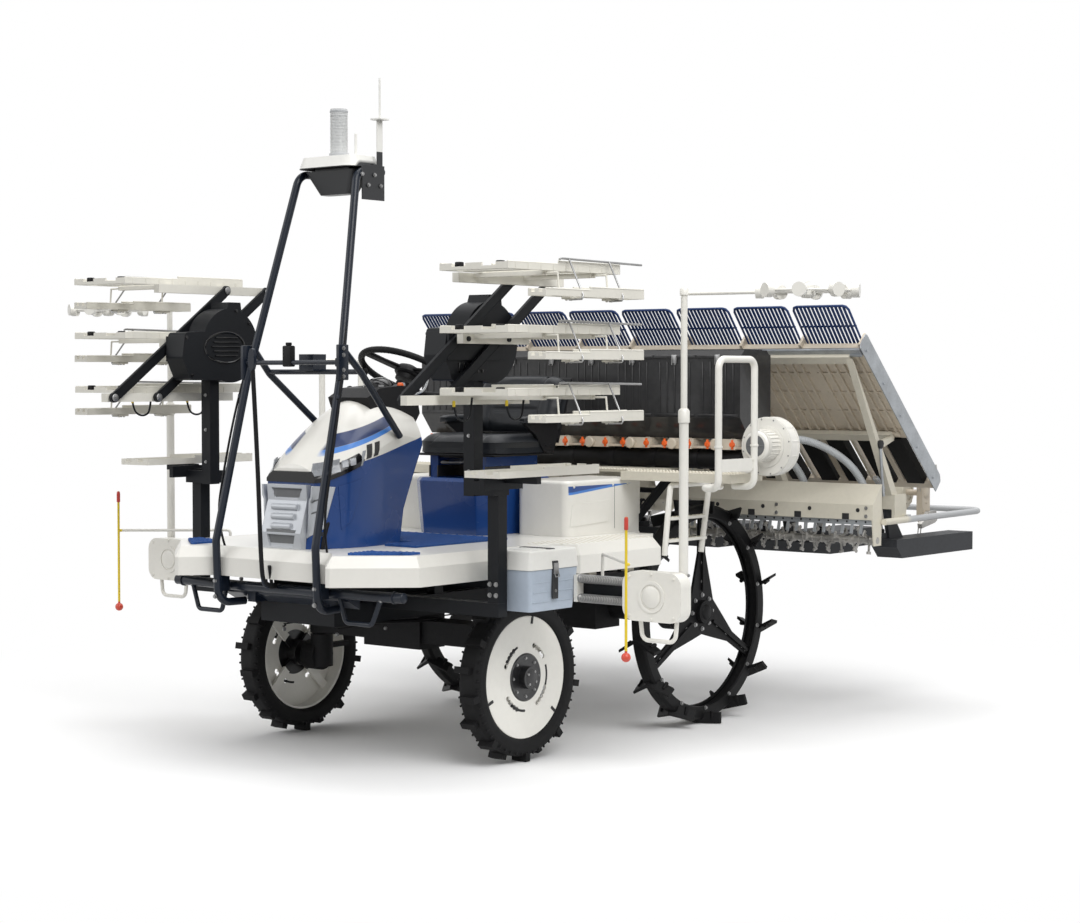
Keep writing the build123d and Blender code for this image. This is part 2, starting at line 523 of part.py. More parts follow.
with BuildPart() as receiver_housing:
    # tapered black box that hangs between the mast's ends
    for z, half, x_low, x_high in ((HEAD_Z[0], 80, HEAD_X[0] + 40, HEAD_X[1] - 40),
                                   (HEAD_Z[1], HEAD_HALF, HEAD_X[0] + 20, HEAD_X[1] - 10)):
        with BuildSketch(Plane.XY.offset(z)):
            with Locations(((x_low + x_high) / 2, 0)):
                RectangleRounded(x_high - x_low, 2 * half, 18)
    loft()
    # white lid
    with BuildSketch(Plane.XY.offset(MAST_TOP_Z + MAST_R + 1)) as lid_plan:
        with Locations(((HEAD_X[0] + HEAD_X[1]) / 2, 0)):
            RectangleRounded(190, 310, 60)
    extrude(amount=44, taper=20)
    block((HEAD_X[0] + 30, HEAD_X[1] - 30), (-90, 90), (HEAD_Z[1] - 2, MAST_TOP_Z + MAST_R + 4))
    # side plate on the left end of the mast
    block((BUMPER_X - 390, BUMPER_X - 268), (MAST_TOP_Y + MAST_R + GAP, MAST_TOP_Y + MAST_R + 5),
          (MAST_TOP_Z - 110, MAST_TOP_Z + 22))
    block((BUMPER_X - 380, BUMPER_X - 330), (120, MAST_TOP_Y + MAST_R + 5), (MAST_TOP_Z + 20, MAST_TOP_Z + 26))
    # antenna bracket and whip
    block((BUMPER_X - 380, BUMPER_X - 350), (MAST_TOP_Y + MAST_R + 1, MAST_TOP_Y + MAST_R + 5),
          (MAST_TOP_Z + 20, 2450))
    block((BUMPER_X - 390, BUMPER_X - 340), (MAST_TOP_Y + MAST_R - 20, MAST_TOP_Y + MAST_R + 30), (2450, 2456))
    bar([(BUMPER_X - 365, MAST_TOP_Y + MAST_R + 5, 2454), (BUMPER_X - 365, MAST_TOP_Y + MAST_R + 5, 2609)], 4)
    # small rod antenna on the lid
    bar([(HEAD_X[0] + 40, 60, MAST_TOP_Z + 50), (HEAD_X[0] + 40, 60, 2405)], 5)
    add(front_mast.part, mode=Mode.SUBTRACT)

with BuildPart() as signal_tower:
    tower_x = (HEAD_X[0] + HEAD_X[1]) / 2
    base_z = MAST_TOP_Z + MAST_R + 45 + GAP
    disc((tower_x, 0, base_z + 8), 37, 16, axis=(0, 0, 1))
    disc((tower_x, 0, base_z + 100), 33, 170, axis=(0, 0, 1))
    for ring in range(3):
        disc((tower_x, 0, base_z + 60 + ring * 50), 34, 4, axis=(0, 0, 1))

# ---------------------------------------------------------------- toolbox
BOX_X = (FRONT_X + 42, FRONT_X + 328)
BOX_Y = (744, 916)
BOX_Z = (618, 770)
BOX_LID_TOP = 842
BOX_WALL = 4
LID_HINGE = (BOX_Y[0] - 13, BOX_Z[1] - 3)   # y and z of the lid's hinge

with BuildPart() as toolbox:
    with BuildSketch(Plane.XY.offset(BOX_Z[0])):
        with Locations((sum(BOX_X) / 2, sum(BOX_Y) / 2)):
            RectangleRounded(BOX_X[1] - BOX_X[0] - 30, BOX_Y[1] - BOX_Y[0] - 24, 14)
    with BuildSketch(Plane.XY.offset(BOX_Z[1])):
        with Locations((sum(BOX_X) / 2, sum(BOX_Y) / 2)):
            RectangleRounded(BOX_X[1] - BOX_X[0], BOX_Y[1] - BOX_Y[0], 14)
    loft(ruled=True)
    offset(amount=-BOX_WALL, openings=toolbox.faces().sort_by(Axis.Z)[-1])
    # hinge knuckles on the inner edge and the bracket to the floor
    for x in (BOX_X[0] + 50, BOX_X[1] - 50):
        disc((x, *LID_HINGE), 9, 40, axis=(1, 0, 0))
        block((x - 18, x + 18), (BOX_Y[0] - 10, BOX_Y[0] + 2), (BOX_Z[1] - 11, BOX_Z[1] - 2))
    block((BOX_X[0] + 110, BOX_X[1] - 110), (DECK_HALF + GAP, BOX_Y[0] + 10), (BOX_Z[0] + 60, BOX_Z[0] + 90))
    block((BOX_X[0] + 110, BOX_X[1] - 110), (DECK_HALF + GAP, DECK_HALF + 8), (BOX_Z[0] + 60, DECK_BOTTOM + 50))

with BuildPart() as toolbox_lid:
    with BuildSketch(Plane.XY.offset(BOX_Z[1] + 1)):
        with Locations((sum(BOX_X) / 2, sum(BOX_Y) / 2)):
            RectangleRounded(BOX_X[1] - BOX_X[0] + 6, BOX_Y[1] - BOX_Y[0] + 6, 16)
    extrude(amount=BOX_LID_TOP - BOX_Z[1] - 1, taper=6)
    fillet(toolbox_lid.faces().sort_by(Axis.Z)[-1].edges(), 9)
    offset(amount=-BOX_WALL, openings=toolbox_lid.faces().sort_by(Axis.Z)[0])
    for x in (BOX_X[0] + 85, BOX_X[1] - 85):
        disc((x, *LID_HINGE), 9, 26, axis=(1, 0, 0))
        block((x - 12, x + 12), (BOX_Y[0] - 14, BOX_Y[0] + 1), (BOX_Z[1] + 2, BOX_Z[1] + 14))

# ---------------------------------------------------------------- spare seedling racks
PIVOT_REAR_X = FRONT_X + 316  # middle pivots of the two links of a rack
PIVOT_PITCH = 226
PIVOT_Z = 1610
FOLD_R = 370                  # from a link's middle pivot to its end pivots
FOLD_ANGLE = 144              # of the upper half of a link, from forward
RACK_LINK_Y = 760
RACK_LINK_T = 10
RACK_LINK_W = 38
RACK_PIN_R = 9
CARRIER_Y = (776, 806)
CARRIER_H = 34
TRAY_X = (FRONT_X + 86, FRONT_X + 723)
TRAY_Y = (830, 1140)
TRAY_T = 34                   # height of a tray's walls over its rear part
TRAY_LOW_T = 24               # and over its front part
TRAY_STEP = 0.56              # share of the length that has the higher walls
OUTER_TRAY_Y = (1162, 1240)
OUTER_TRAY_DROP = 92
OUTER_TRAY_X = (TRAY_X[0] - 10, TRAY_X[1] - 80)
HANGERS_X = tuple(OUTER_TRAY_X[0] + 4 + rib * (OUTER_TRAY_X[1] - OUTER_TRAY_X[0] - 8) / 4 for rib in (1, 3))
POST_TOP_Y = 700
fold_dx = FOLD_R * cos(radians(FOLD_ANGLE))
fold_dz = FOLD_R * sin(radians(FOLD_ANGLE))
PIVOTS_X = (PIVOT_REAR_X, PIVOT_REAR_X + PIVOT_PITCH)


def tray(x, y, z, wall, slots):
    """An open tray with stepped walls, notched ends and slots in its floor, added to the open part."""
    block(x, y, (z, z + TRAY_LOW_T))
    block((x[0], x[0] + TRAY_STEP * (x[1] - x[0])), y, (z, z + TRAY_T))
    block((x[0] + wall, x[1] - wall), (y[0] + wall, y[1] - wall), (z + 5, z + TRAY_T + 1), mode=Mode.SUBTRACT)
    pitch = (x[1] - x[0] - 2 * wall) / slots
    for number in range(slots):
        middle = x[0] + wall + (number + 0.5) * pitch
        block((middle - pitch * 0.3, middle + pitch * 0.3), (y[0] + 3 * wall, y[1] - 3 * wall),
              (z - 1, z + 6), mode=Mode.SUBTRACT)
    width = y[1] - y[0]
    for end in x:
        for share in (0.28, 0.72):
            middle = y[0] + share * width
            block((end - wall - 1, end + wall + 1), (middle - 0.1 * width, middle + 0.1 * width),
                  (z + 12, z + TRAY_T + 1), mode=Mode.SUBTRACT)


def tier(side, level, pin_shift, carrier_x):
    """One tier: carrier bar with its pins, main tray, hangers and the narrow outer tray."""
    y = sorted((side * TRAY_Y[0], side * TRAY_Y[1]))
    tray(TRAY_X, y, level, 6, 5)
    outer = sorted((side * OUTER_TRAY_Y[0], side * OUTER_TRAY_Y[1]))
    tray(OUTER_TRAY_X, outer, level - OUTER_TRAY_DROP, 4, 4)
    carrier_y = sorted((side * CARRIER_Y[0], side * CARRIER_Y[1]))
    block(carrier_x, carrier_y, (level - CARRIER_H, level))
    for x in HANGERS_X:
        # cross bearer below the main tray and the wire hanger of the outer one
        block((x - 12, x + 12), sorted((side * CARRIER_Y[0], side * (TRAY_Y[1] - 20))), (level - 16, level))
        bar([(x, side * (TRAY_Y[1] - 30), level - 8), (x, side * (OUTER_TRAY_Y[0] + 16), level - 8),
             (x, side * (OUTER_TRAY_Y[0] + 24), level - OUTER_TRAY_DROP + 3)], 3.5)
    for x in pin_shift:
        disc((x, side * (RACK_LINK_Y + 14), level - CARRIER_H / 2), RACK_PIN_R, 46)


RACK_LEVELS = {"top": PIVOT_Z + CARRIER_H / 2 + fold_dz, "mid": PIVOT_Z + CARRIER_H / 2,
               "low": PIVOT_Z + CARRIER_H / 2 - fold_dz}
rack_pieces = {}
for side, hand in zip(SIDES, ("right", "left")):
    with BuildPart() as rack_top:
        tier(side, RACK_LEVELS["top"], [x + fold_dx for x in PIVOTS_X],
             (PIVOTS_X[0] + fold_dx - 25, TRAY_X[1] - 130))
    with BuildPart() as rack_low:
        tier(side, RACK_LEVELS["low"], [x - fold_dx for x in PIVOTS_X],
             (TRAY_X[0] + 110, PIVOTS_X[1] - fold_dx + 25))
    rack_pieces[f"rack_{hand}_top"] = rack_top
    rack_pieces[f"rack_{hand}_low"] = rack_low
    for place, pivot_x in zip(("rear", "front"), PIVOTS_X):
        with BuildPart() as rack_link:
            y = side * RACK_LINK_Y
            flat_bar((pivot_x + fold_dx, y, PIVOT_Z + fold_dz), (pivot_x - fold_dx, y, PIVOT_Z - fold_dz),
                     RACK_LINK_W, RACK_LINK_T)
            for turn in (-1, 0, 1):
                disc((pivot_x + turn * fold_dx, y, PIVOT_Z + turn * fold_dz),
                     RACK_PIN_R + RUNNING, RACK_LINK_T + 2, mode=Mode.SUBTRACT)
        rack_pieces[f"rack_{hand}_{place}_link"] = rack_link

HINGE_Z = (1040, 1100)
LOW_TRAY_Z = 1118
DRIVE_Y = (640, 738)

with BuildPart() as rack_posts:
    for side in SIDES:
        half = POST_W / 2
        block((POST_X - half, POST_X + half), sorted((side * (POST_Y - half), side * (POST_Y + half))),
              (ARM_Z[1] + GAP, HINGE_Z[1]))
        # swing arm in to the upper post
        block((POST_X - 30, POST_X + 55), sorted((side * (POST_TOP_Y - half), side * (POST_Y + half + 6))),
              (HINGE_Z[0] + 4, HINGE_Z[1] - 6))
        block((POST_X + 5, POST_X + 55), sorted((side * (POST_TOP_Y - half), side * (POST_TOP_Y + half))),
              (HINGE_Z[1] - 60, PIVOT_Z - 60))
        # beam that carries the middle pivots, and the pins
        block((PIVOTS_X[0] - 40, PIVOTS_X[1] + 40), sorted((side * (DRIVE_Y[1] + GAP), side * (DRIVE_Y[1] + 12))),
              (PIVOT_Z - 75, PIVOT_Z + 25))
        block((POST_X + 5, POST_X + 55), sorted((side * POST_TOP_Y, side * (DRIVE_Y[1] + 12))),
              (PIVOT_Z - 110, PIVOT_Z - 60))
        for pivot_x in PIVOTS_X:
            disc((pivot_x, side * (DRIVE_Y[1] + 40), PIVOT_Z), RACK_PIN_R, 68)
        # bearer of the bottom tray
        block((POST_X - 90, POST_X + 130), sorted((side * (POST_Y + half), side * (TRAY_Y[0] + 6))),
              (HINGE_Z[1] - 34, HINGE_Z[1] + 12))
        block((POST_X - 12, POST_X + 12), sorted((side * (POST_Y + half), side * 985)),
              (HINGE_Z[1] - 10, LOW_TRAY_Z - GAP))

    for side in SIDES:
        # moulded cover of the drive, inside the links
        middle = (PIVOTS_X[0] + PIVOTS_X[1]) / 2
        y = sorted((side * DRIVE_Y[0], side * DRIVE_Y[1]))
        disc((middle - 95, side * sum(DRIVE_Y) / 2, PIVOT_Z - 10), 150, DRIVE_Y[1] - DRIVE_Y[0])
        side_plate([(middle - 60, PIVOT_Z - 150), (middle + 120, PIVOT_Z - 150), (middle + 165, PIVOT_Z - 60),
                    (middle + 150, PIVOT_Z + 40), (middle - 60, PIVOT_Z + 50)], *y, corner=18)
        side_plate([(middle - 160, PIVOT_Z + 100), (middle - 60, PIVOT_Z + 100), (middle - 85, PIVOT_Z + 165),
                    (middle - 150, PIVOT_Z + 165)], *y)

with BuildPart() as rack_fixed_trays:
    for side in SIDES:
        y = sorted((side * TRAY_Y[0], side * TRAY_Y[1]))
        outer = sorted((side * OUTER_TRAY_Y[0], side * OUTER_TRAY_Y[1]))
        level = RACK_LEVELS["mid"]
        tray(TRAY_X, y, level, 6, 5)
        tray(OUTER_TRAY_X, outer, level - OUTER_TRAY_DROP, 4, 4)
        block((TRAY_X[0] + 110, PIVOTS_X[1] + 26), sorted((side * CARRIER_Y[0], side * CARRIER_Y[1])),
              (level - CARRIER_H, level))
        for x in HANGERS_X:
            block((x - 12, x + 12), sorted((side * CARRIER_Y[0], side * (TRAY_Y[1] - 20))), (level - 16, level))
            bar([(x, side * (TRAY_Y[1] - 30), level - 8), (x, side * (OUTER_TRAY_Y[0] + 16), level - 8),
                 (x, side * (OUTER_TRAY_Y[0] + 24), level - OUTER_TRAY_DROP + 3)], 3.5)
        for x in PIVOTS_X:
            disc((x, side * sum(CARRIER_Y) / 2, PIVOT_Z), RACK_PIN_R + GAP, 40, mode=Mode.SUBTRACT)
        # bottom tray on the lower post
        tray((TRAY_X[0] - 60, TRAY_X[1] - 120), sorted((side * 840, side * 1000)), LOW_TRAY_Z, 6, 5)

# ---------------------------------------------------------------- markers
MARKER_TOP_Z = 1785
MARKER_REACH = 480            # from the pole to the star wheel
STAR_R = 195
POLE_R = 17

with BuildPart() as marker_stands:
    for side in SIDES:
        # rounded case at the end of the support arm, and the pin of the pole
        with BuildSketch(Plane.YZ.offset(MARKER_X + POLE_R + 8)):
            with Locations((side * 1290, MARKER_PIVOT_Z - 8)):
                RectangleRounded(260, 180, 50)
        extrude(amount=62)
        disc((MARKER_X + 5, side * MARKER_Y, MARKER_PIVOT_Z), 9, 60, axis=(1, 0, 0))
        block((MARKER_X - 26, MARKER_X + 50), sorted((side * (MARKER_BEAM_END + GAP), side * 1180)),
              (MARKER_PIVOT_Z - 50, MARKER_PIVOT_Z + 50))
        # guard loop below the case
        bar([(MARKER_X + 50, side * 1215, MARKER_PIVOT_Z - 90), (MARKER_X + 50, side * 1225, MARKER_PIVOT_Z - 170),
             (MARKER_X + 50, side * 1370, MARKER_PIVOT_Z - 170), (MARKER_X + 50, side * 1380, MARKER_PIVOT_Z - 60)],
            8, 30)
        # springs along the arm, in front of it
        block((MARKER_X + 20 + GAP, MARKER_X + 60), sorted((side * 915, side * 930)),
              (MARKER_PIVOT_Z - 50, MARKER_PIVOT_Z + 50))
        for dz in (-36, 36):
            bar([(MARKER_X + 44, side * 928, MARKER_PIVOT_Z + dz), (MARKER_X + 44, side * 1170, MARKER_PIVOT_Z + dz)],
                12)

marker_pieces = {}
for side, hand in zip(SIDES, ("right", "left")):
    with BuildPart() as marker_arm:
        y = side * MARKER_Y
        bar([(MARKER_X, y, MARKER_PIVOT_Z - 30), (MARKER_X, y, 1340)], POLE_R)
        bar([(MARKER_X, y, 1338), (MARKER_X, y, MARKER_TOP_Z)], POLE_R - 5)
        disc((MARKER_X, y, MARKER_PIVOT_Z), 9 + RUNNING, 2 * POLE_R + 2, axis=(1, 0, 0), mode=Mode.SUBTRACT)
        # end rod, hub, ring and cups of the star wheel
        end_x = MARKER_X - 60
        hub = (end_x, y + side * MARKER_REACH, MARKER_TOP_Z - 12)
        bar([(MARKER_X, y - side * 8, MARKER_TOP_Z - 12), (MARKER_X - 20, y + side * 60, MARKER_TOP_Z - 12), hub], 7, 30)
        disc(hub, 24, 40, axis=(0, 0, 1))
        for cup in range(8):
            angle = cup * pi / 4 + pi / 8
            reach = (cos(angle), sin(angle))
            bar([(hub[0] + 18 * reach[0], hub[1] + 18 * reach[1], hub[2]),
                 (hub[0] + (STAR_R - 20) * reach[0], hub[1] + (STAR_R - 20) * reach[1], hub[2])], 5)
            disc((hub[0] + (STAR_R - 27) * reach[0], hub[1] + (STAR_R - 27) * reach[1], hub[2]), 25, 26,
                 axis=(reach[0], reach[1], 0))
    marker_pieces[f"marker_arm_{hand}"] = marker_arm

SIDE_ROD_X = FRONT_X + 326
SIDE_ROD_Y = 1347

with BuildPart() as side_markers:
    for side in SIDES:
        bar([(SIDE_ROD_X, side * SIDE_ROD_Y, 490), (SIDE_ROD_X, side * SIDE_ROD_Y, 985)], 5)
        with Locations((SIDE_ROD_X, side * SIDE_ROD_Y, 492)):
            Sphere(17)
        # stay back to the marker's beam
        bar([(MARKER_X - 5, side * 1000, MARKER_BEAM_Z[1] + GAP), (MARKER_X - 5, side * 1000, 818),
             (SIDE_ROD_X - 20, side * SIDE_ROD_Y, 818), (SIDE_ROD_X, side * SIDE_ROD_Y, 818)], 6, 14)

# ---------------------------------------------------------------- fertiliser unit
HOPPER_X = (REAR_X - 120, REAR_X + 110)
HOPPER_Z = (1214, 1584)
HOPPER_WALL = 4
HOPPER_PITCH = 2 * HOPPER_HALF / ROWS
METER_X = (REAR_X - 85, REAR_X + 75)
DUCT_R = 42
OUTLET_R = 20
DUCT_X = REAR_X + 20
DUCT_Z = PLATFORM_TOP + DUCT_R + GAP
BLOWER = (REAR_X + 110, 1030, 1190)
BLOWER_R = 118

with BuildPart() as hopper_bank:
    middle = sum(HOPPER_X) / 2
    side_plate([(HOPPER_X[0] + 70, HOPPER_Z[0]), (HOPPER_X[1] - 70, HOPPER_Z[0]),
                (HOPPER_X[1], HOPPER_Z[0] + 90), (HOPPER_X[1], HOPPER_Z[1] - 30), (HOPPER_X[1] - 30, HOPPER_Z[1]),
                (HOPPER_X[0] + 30, HOPPER_Z[1]), (HOPPER_X[0], HOPPER_Z[1] - 30), (HOPPER_X[0], HOPPER_Z[0] + 90)],
               -HOPPER_HALF, HOPPER_HALF)
    # one chamber for each row
    for row in range(ROWS):
        low = -HOPPER_HALF + row * HOPPER_PITCH + HOPPER_WALL
        side_plate([(HOPPER_X[0] + 72, HOPPER_Z[0] + HOPPER_WALL), (HOPPER_X[1] - 72, HOPPER_Z[0] + HOPPER_WALL),
                    (HOPPER_X[1] - HOPPER_WALL, HOPPER_Z[0] + 93), (HOPPER_X[1] - HOPPER_WALL, HOPPER_Z[1] - 40),
                    (HOPPER_X[0] + HOPPER_WALL, HOPPER_Z[1] - 40), (HOPPER_X[0] + HOPPER_WALL, HOPPER_Z[0] + 93)],
                   low, low + HOPPER_PITCH - 2 * HOPPER_WALL, mode=Mode.SUBTRACT)

with BuildPart() as metering_units:
    for row in range(ROWS):
        y = -HOPPER_HALF + (row + 0.5) * HOPPER_PITCH
        side_plate([(METER_X[0], DUCT_Z + DUCT_R + GAP), (METER_X[1], DUCT_Z + DUCT_R + GAP),
                    (METER_X[1] - 20, HOPPER_Z[0] - GAP), (METER_X[0] + 20, HOPPER_Z[0] - GAP)], y - 60, y + 60)
        disc((METER_X[1] + 4, y - 30, DUCT_Z + DUCT_R + 22), 16, 24, axis=(1, 0, 0))
        # outlet to the row's hose
        disc((METER_X[0] - 10, y, DUCT_Z + DUCT_R + 22), OUTLET_R, 50, axis=(1, 0, 0))
    # frame bar that carries the units
    block((METER_X[1] - 30, METER_X[1] - 6), (-HOPPER_HALF, HOPPER_HALF), (DUCT_Z + DUCT_R + 4, DUCT_Z + DUCT_R + 14))

with BuildPart() as air_duct:
    disc((DUCT_X, (BLOWER[1] - HOPPER_HALF) / 2, DUCT_Z), DUCT_R, BLOWER[1] + HOPPER_HALF - 2 * 70)
    for side in SIDES:
        block((REAR_X - 40, DUCT_X), (side * 700 - 15, side * 700 + 15), (PLATFORM_TOP - 10 + GAP, DUCT_Z))

with BuildPart() as blower:
    disc(BLOWER, BLOWER_R, 70, axis=(1, 0, 0))
    disc((BLOWER[0] + 75, BLOWER[1] + 10, BLOWER[2] + 5), 62, 110, axis=(1, 0, 0))
    disc((BLOWER[0] - 45, BLOWER[1], BLOWER[2]), 50, 40, axis=(1, 0, 0))
    fillet(blower.edges().filter_by(GeomType.CIRCLE).group_by(Axis.X)[-1], 16)
    # outlet into the duct and the foot on the platform
    block((BLOWER[0] - 125, BLOWER[0]), (BLOWER[1] - 69, BLOWER[1] - 20), (DUCT_Z - 30, BLOWER[2] - 60))
    block((BLOWER[0] - 20, REAR_X + 300), (BLOWER[1] - 60, BLOWER[1] - 35), (PLATFORM_TOP + GAP, BLOWER[2] - 60))

with BuildPart() as handrails:
    for side in SIDES:
        y = side * HANDRAIL_Y
        x_low, x_high = HANDRAIL_X
        bar([(x_low, side * 980, RAIL_FOOT_Z), (x_low, y, RAIL_FOOT_Z), (x_low, y, HANDRAIL_TOP),
             (x_high, y, HANDRAIL_TOP), (x_high, y, RAIL_FOOT_Z), (x_high - 30, side * 990, RAIL_FOOT_Z),
             (x_low + 60, side * 960, RAIL_FOOT_Z)], RAIL_TUBE_R, 38)
        block((x_low + 8, x_high - 8), sorted((y - 3, y + 3)), (PLATFORM_TOP + 15, PLATFORM_TOP + 65))
        # ladder between the platform and the step
        for x, foot in ((REAR_X + 120, 60), (REAR_X + 400, 40)):
            bar([(x + foot, side * 735, DECK_BOTTOM + 30), (x, side * 735, PLATFORM_TOP - 52 - GAP),
                 (REAR_X + 300, side * 735, PLATFORM_TOP - 52 - GAP)], 12, 20)
        for z in (800, 890):
            block((REAR_X + 150, REAR_X + 420), (side * 735 - 9, side * 735 + 9), (z, z + 12))

# ---------------------------------------------------------------- wheels
FRONT_RIM_R = 232
FRONT_LUGS = 18
LUG_H = 22
HUB_R = 52
HUB_FACE = 70

wheel_pieces = {}
for side, hand in zip(SIDES, ("right", "left")):
    centre = (FRONT_X, side * FRONT_TRACK / 2, FRONT_WHEEL_D / 2)
    with BuildPart() as tyre:
        with BuildSketch(Plane(origin=centre, x_dir=(0, 1, 0), z_dir=(1, 0, 0))) as section:
            with Locations((0, (FRONT_RIM_R + FRONT_WHEEL_D / 2 - LUG_H) / 2)):
                RectangleRounded(FRONT_TYRE_W, FRONT_WHEEL_D / 2 - LUG_H - FRONT_RIM_R, 26)
        revolve(axis=Axis(centre, (0, 1, 0)))
        for lug in range(FRONT_LUGS):
            angle = lug * 2 * pi / FRONT_LUGS
            half = 1 if lug % 2 else -1
            out = Plane(origin=centre, x_dir=(0, 1, 0), z_dir=(sin(angle), 0, cos(angle)))
            with BuildSketch(out.offset(FRONT_WHEEL_D / 2 - LUG_H - 14)):
                with Locations((half * 14, 0)):
                    Rectangle(FRONT_TYRE_W - 30, 26)
            extrude(amount=LUG_H + 14 - 2)
    wheel_pieces[f"front_tyre_{hand}"] = tyre
    with BuildPart() as wheel:
        disc((centre[0], centre[1] + side * 34, centre[2]), FRONT_RIM_R - GAP, 5)
        disc(centre, FRONT_RIM_R - GAP, 66)
        disc(centre, FRONT_RIM_R - 8, 67, mode=Mode.SUBTRACT)
        disc((centre[0], centre[1] + side * 32, centre[2]), FRONT_RIM_R - 2, 5)
        # spokes behind the cover disc
        for turn in range(4):
            angle = turn * pi / 2 + pi / 4
            with BuildSketch(Plane(origin=(centre[0], centre[1] + side * 12, centre[2]), x_dir=(cos(angle), 0, sin(angle)),
                                   z_dir=(0, -1, 0))):
                with Locations((FRONT_RIM_R / 2, 0)):
                    Rectangle(FRONT_RIM_R - 10, 34)
            extrude(amount=6, both=True)
        disc((centre[0], centre[1] + side * 6, centre[2]), HUB_R, 60)
        disc((centre[0], centre[1] + side * 46, centre[2]), HUB_R - 8, 44)
        for turn in range(4):
            # curved slot in the cover disc
            for step in range(5):
                angle = turn * pi / 2 + radians(24 + step * 8)
                disc((centre[0] + 128 * cos(angle), centre[1] + side * 34, centre[2] + 128 * sin(angle)), 10, 12,
                     mode=Mode.SUBTRACT)
        disc((centre[0], centre[1] - side * 30, centre[2]), 20 + RUNNING, 60, mode=Mode.SUBTRACT)
    wheel_pieces[f"front_wheel_{hand}"] = wheel
    with BuildPart() as knuckle:
        # sleeve on the kingpin, drop case and the stub of the wheel
        sleeve_top = AXLE_Z - 50 - 6
        disc((FRONT_X, side * KINGPIN_Y, (sleeve_top + 280) / 2), 46, sleeve_top - 280, axis=(0, 0, 1))
        disc((FRONT_X, side * (KINGPIN_Y + 30), FRONT_WHEEL_D / 2), 62, 70)
        disc((FRONT_X, side * (KINGPIN_Y + 80), FRONT_WHEEL_D / 2), 20, 100)
        # steering arm
        block((FRONT_X - 130, FRONT_X - 30), sorted((side * (KINGPIN_Y - 30), side * (KINGPIN_Y + 2))),
              (sleeve_top - 60, sleeve_top - 40))
        disc((FRONT_X, side * KINGPIN_Y, (sleeve_top + PIN_FOOT_Z) / 2), KINGPIN_D / 2 + RUNNING,
             sleeve_top - PIN_FOOT_Z + 10, axis=(0, 0, 1), mode=Mode.SUBTRACT)
    wheel_pieces[f"knuckle_{hand}"] = knuckle

PADDLES = 14
REAR_RIM_R = REAR_WHEEL_D / 2 - 62
PADDLE_W = 180

for side, hand in zip(SIDES, ("right", "left")):
    centre = (REAR_X, side * REAR_TRACK / 2, REAR_WHEEL_D / 2)
    with BuildPart() as rear_wheel:
        with BuildSketch(Plane(origin=centre, x_dir=(0, 1, 0), z_dir=(1, 0, 0))):
            with Locations((0, REAR_RIM_R + 22)):
                RectangleRounded(REAR_RIM_W, 44, 14)
        revolve(axis=Axis(centre, (0, 1, 0)))
        for paddle in range(PADDLES):
            # swept-back paddle, a shallow V across the rim
            angle = paddle * 2 * pi / PADDLES
            out = Plane(origin=centre, x_dir=(0, 1, 0), z_dir=(sin(angle), 0, cos(angle)))
            with BuildSketch(out.offset(REAR_RIM_R + 12)):
                Polygon((-PADDLE_W / 2, -34), (0, 14), (PADDLE_W / 2, -34), (PADDLE_W / 2, -22), (0, 32),
                        (-PADDLE_W / 2, -22), align=None)
            extrude(amount=REAR_WHEEL_D / 2 - REAR_RIM_R - 12 - 2)
        # three-armed spider
        for arm in range(3):
            angle = arm * 2 * pi / 3 + pi / 2
            with BuildSketch(Plane(origin=(centre[0], centre[1] + side * 6, centre[2]),
                                   x_dir=(cos(angle), 0, sin(angle)), z_dir=(0, -1, 0))):
                Polygon((0, -95), (120, -62), (250, -24), (REAR_RIM_R + 8, -20), (REAR_RIM_R + 8, 20), (250, 24),
                        (120, 62), (0, 95), align=None)
            extrude(amount=6, both=True)
        disc(centre, 95, 24)
        disc(centre, 50, 70)
        disc(centre, 26 + RUNNING, 90, mode=Mode.SUBTRACT)
        disc((centre[0], centre[1] + side * 31, centre[2]), 42, 10)
    wheel_pieces[f"rear_wheel_{hand}"] = rear_wheel

# ---------------------------------------------------------------- lift links
angle = radians(LINK_ANGLE)
UNIT_X = LINK_FRONT_X - LINK_LENGTH * cos(angle)
UNIT_LOW_Z = LOWER_PIVOT_Z + LINK_LENGTH * sin(angle)
UNIT_HIGH_Z = UPPER_PIVOT_Z + LINK_LENGTH * sin(angle)

with BuildPart() as lower_links:
    for side in SIDES:
        flat_bar((LINK_FRONT_X, side * LINK_Y, LOWER_PIVOT_Z), (UNIT_X, side * LINK_Y, UNIT_LOW_Z), LOWER_ARM_W, LINK_T)
        for x, z in ((LINK_FRONT_X, LOWER_PIVOT_Z), (UNIT_X, UNIT_LOW_Z)):
            disc((x, side * LINK_Y, z), LINK_PIN_D / 2 + RUNNING, LINK_T + 2, mode=Mode.SUBTRACT)
    middle = (LINK_FRONT_X - LINK_LENGTH * 0.55 * cos(angle), 0, LOWER_PIVOT_Z + LINK_LENGTH * 0.55 * sin(angle))
    disc(middle, 16, 2 * LINK_Y)

with BuildPart() as upper_link:
    for side in SIDES:
        flat_bar((LINK_FRONT_X, side * LINK_Y, UPPER_PIVOT_Z), (UNIT_X, side * LINK_Y, UNIT_HIGH_Z), UPPER_ARM_W, LINK_T)
        for x, z in ((LINK_FRONT_X, UPPER_PIVOT_Z), (UNIT_X, UNIT_HIGH_Z)):
            disc((x, side * LINK_Y, z), LINK_PIN_D / 2 + RUNNING, LINK_T + 2, mode=Mode.SUBTRACT)
    disc((LINK_FRONT_X - LINK_LENGTH * 0.5 * cos(angle), 0, UPPER_PIVOT_Z + LINK_LENGTH * 0.5 * sin(angle)), 12, 2 * LINK_Y)

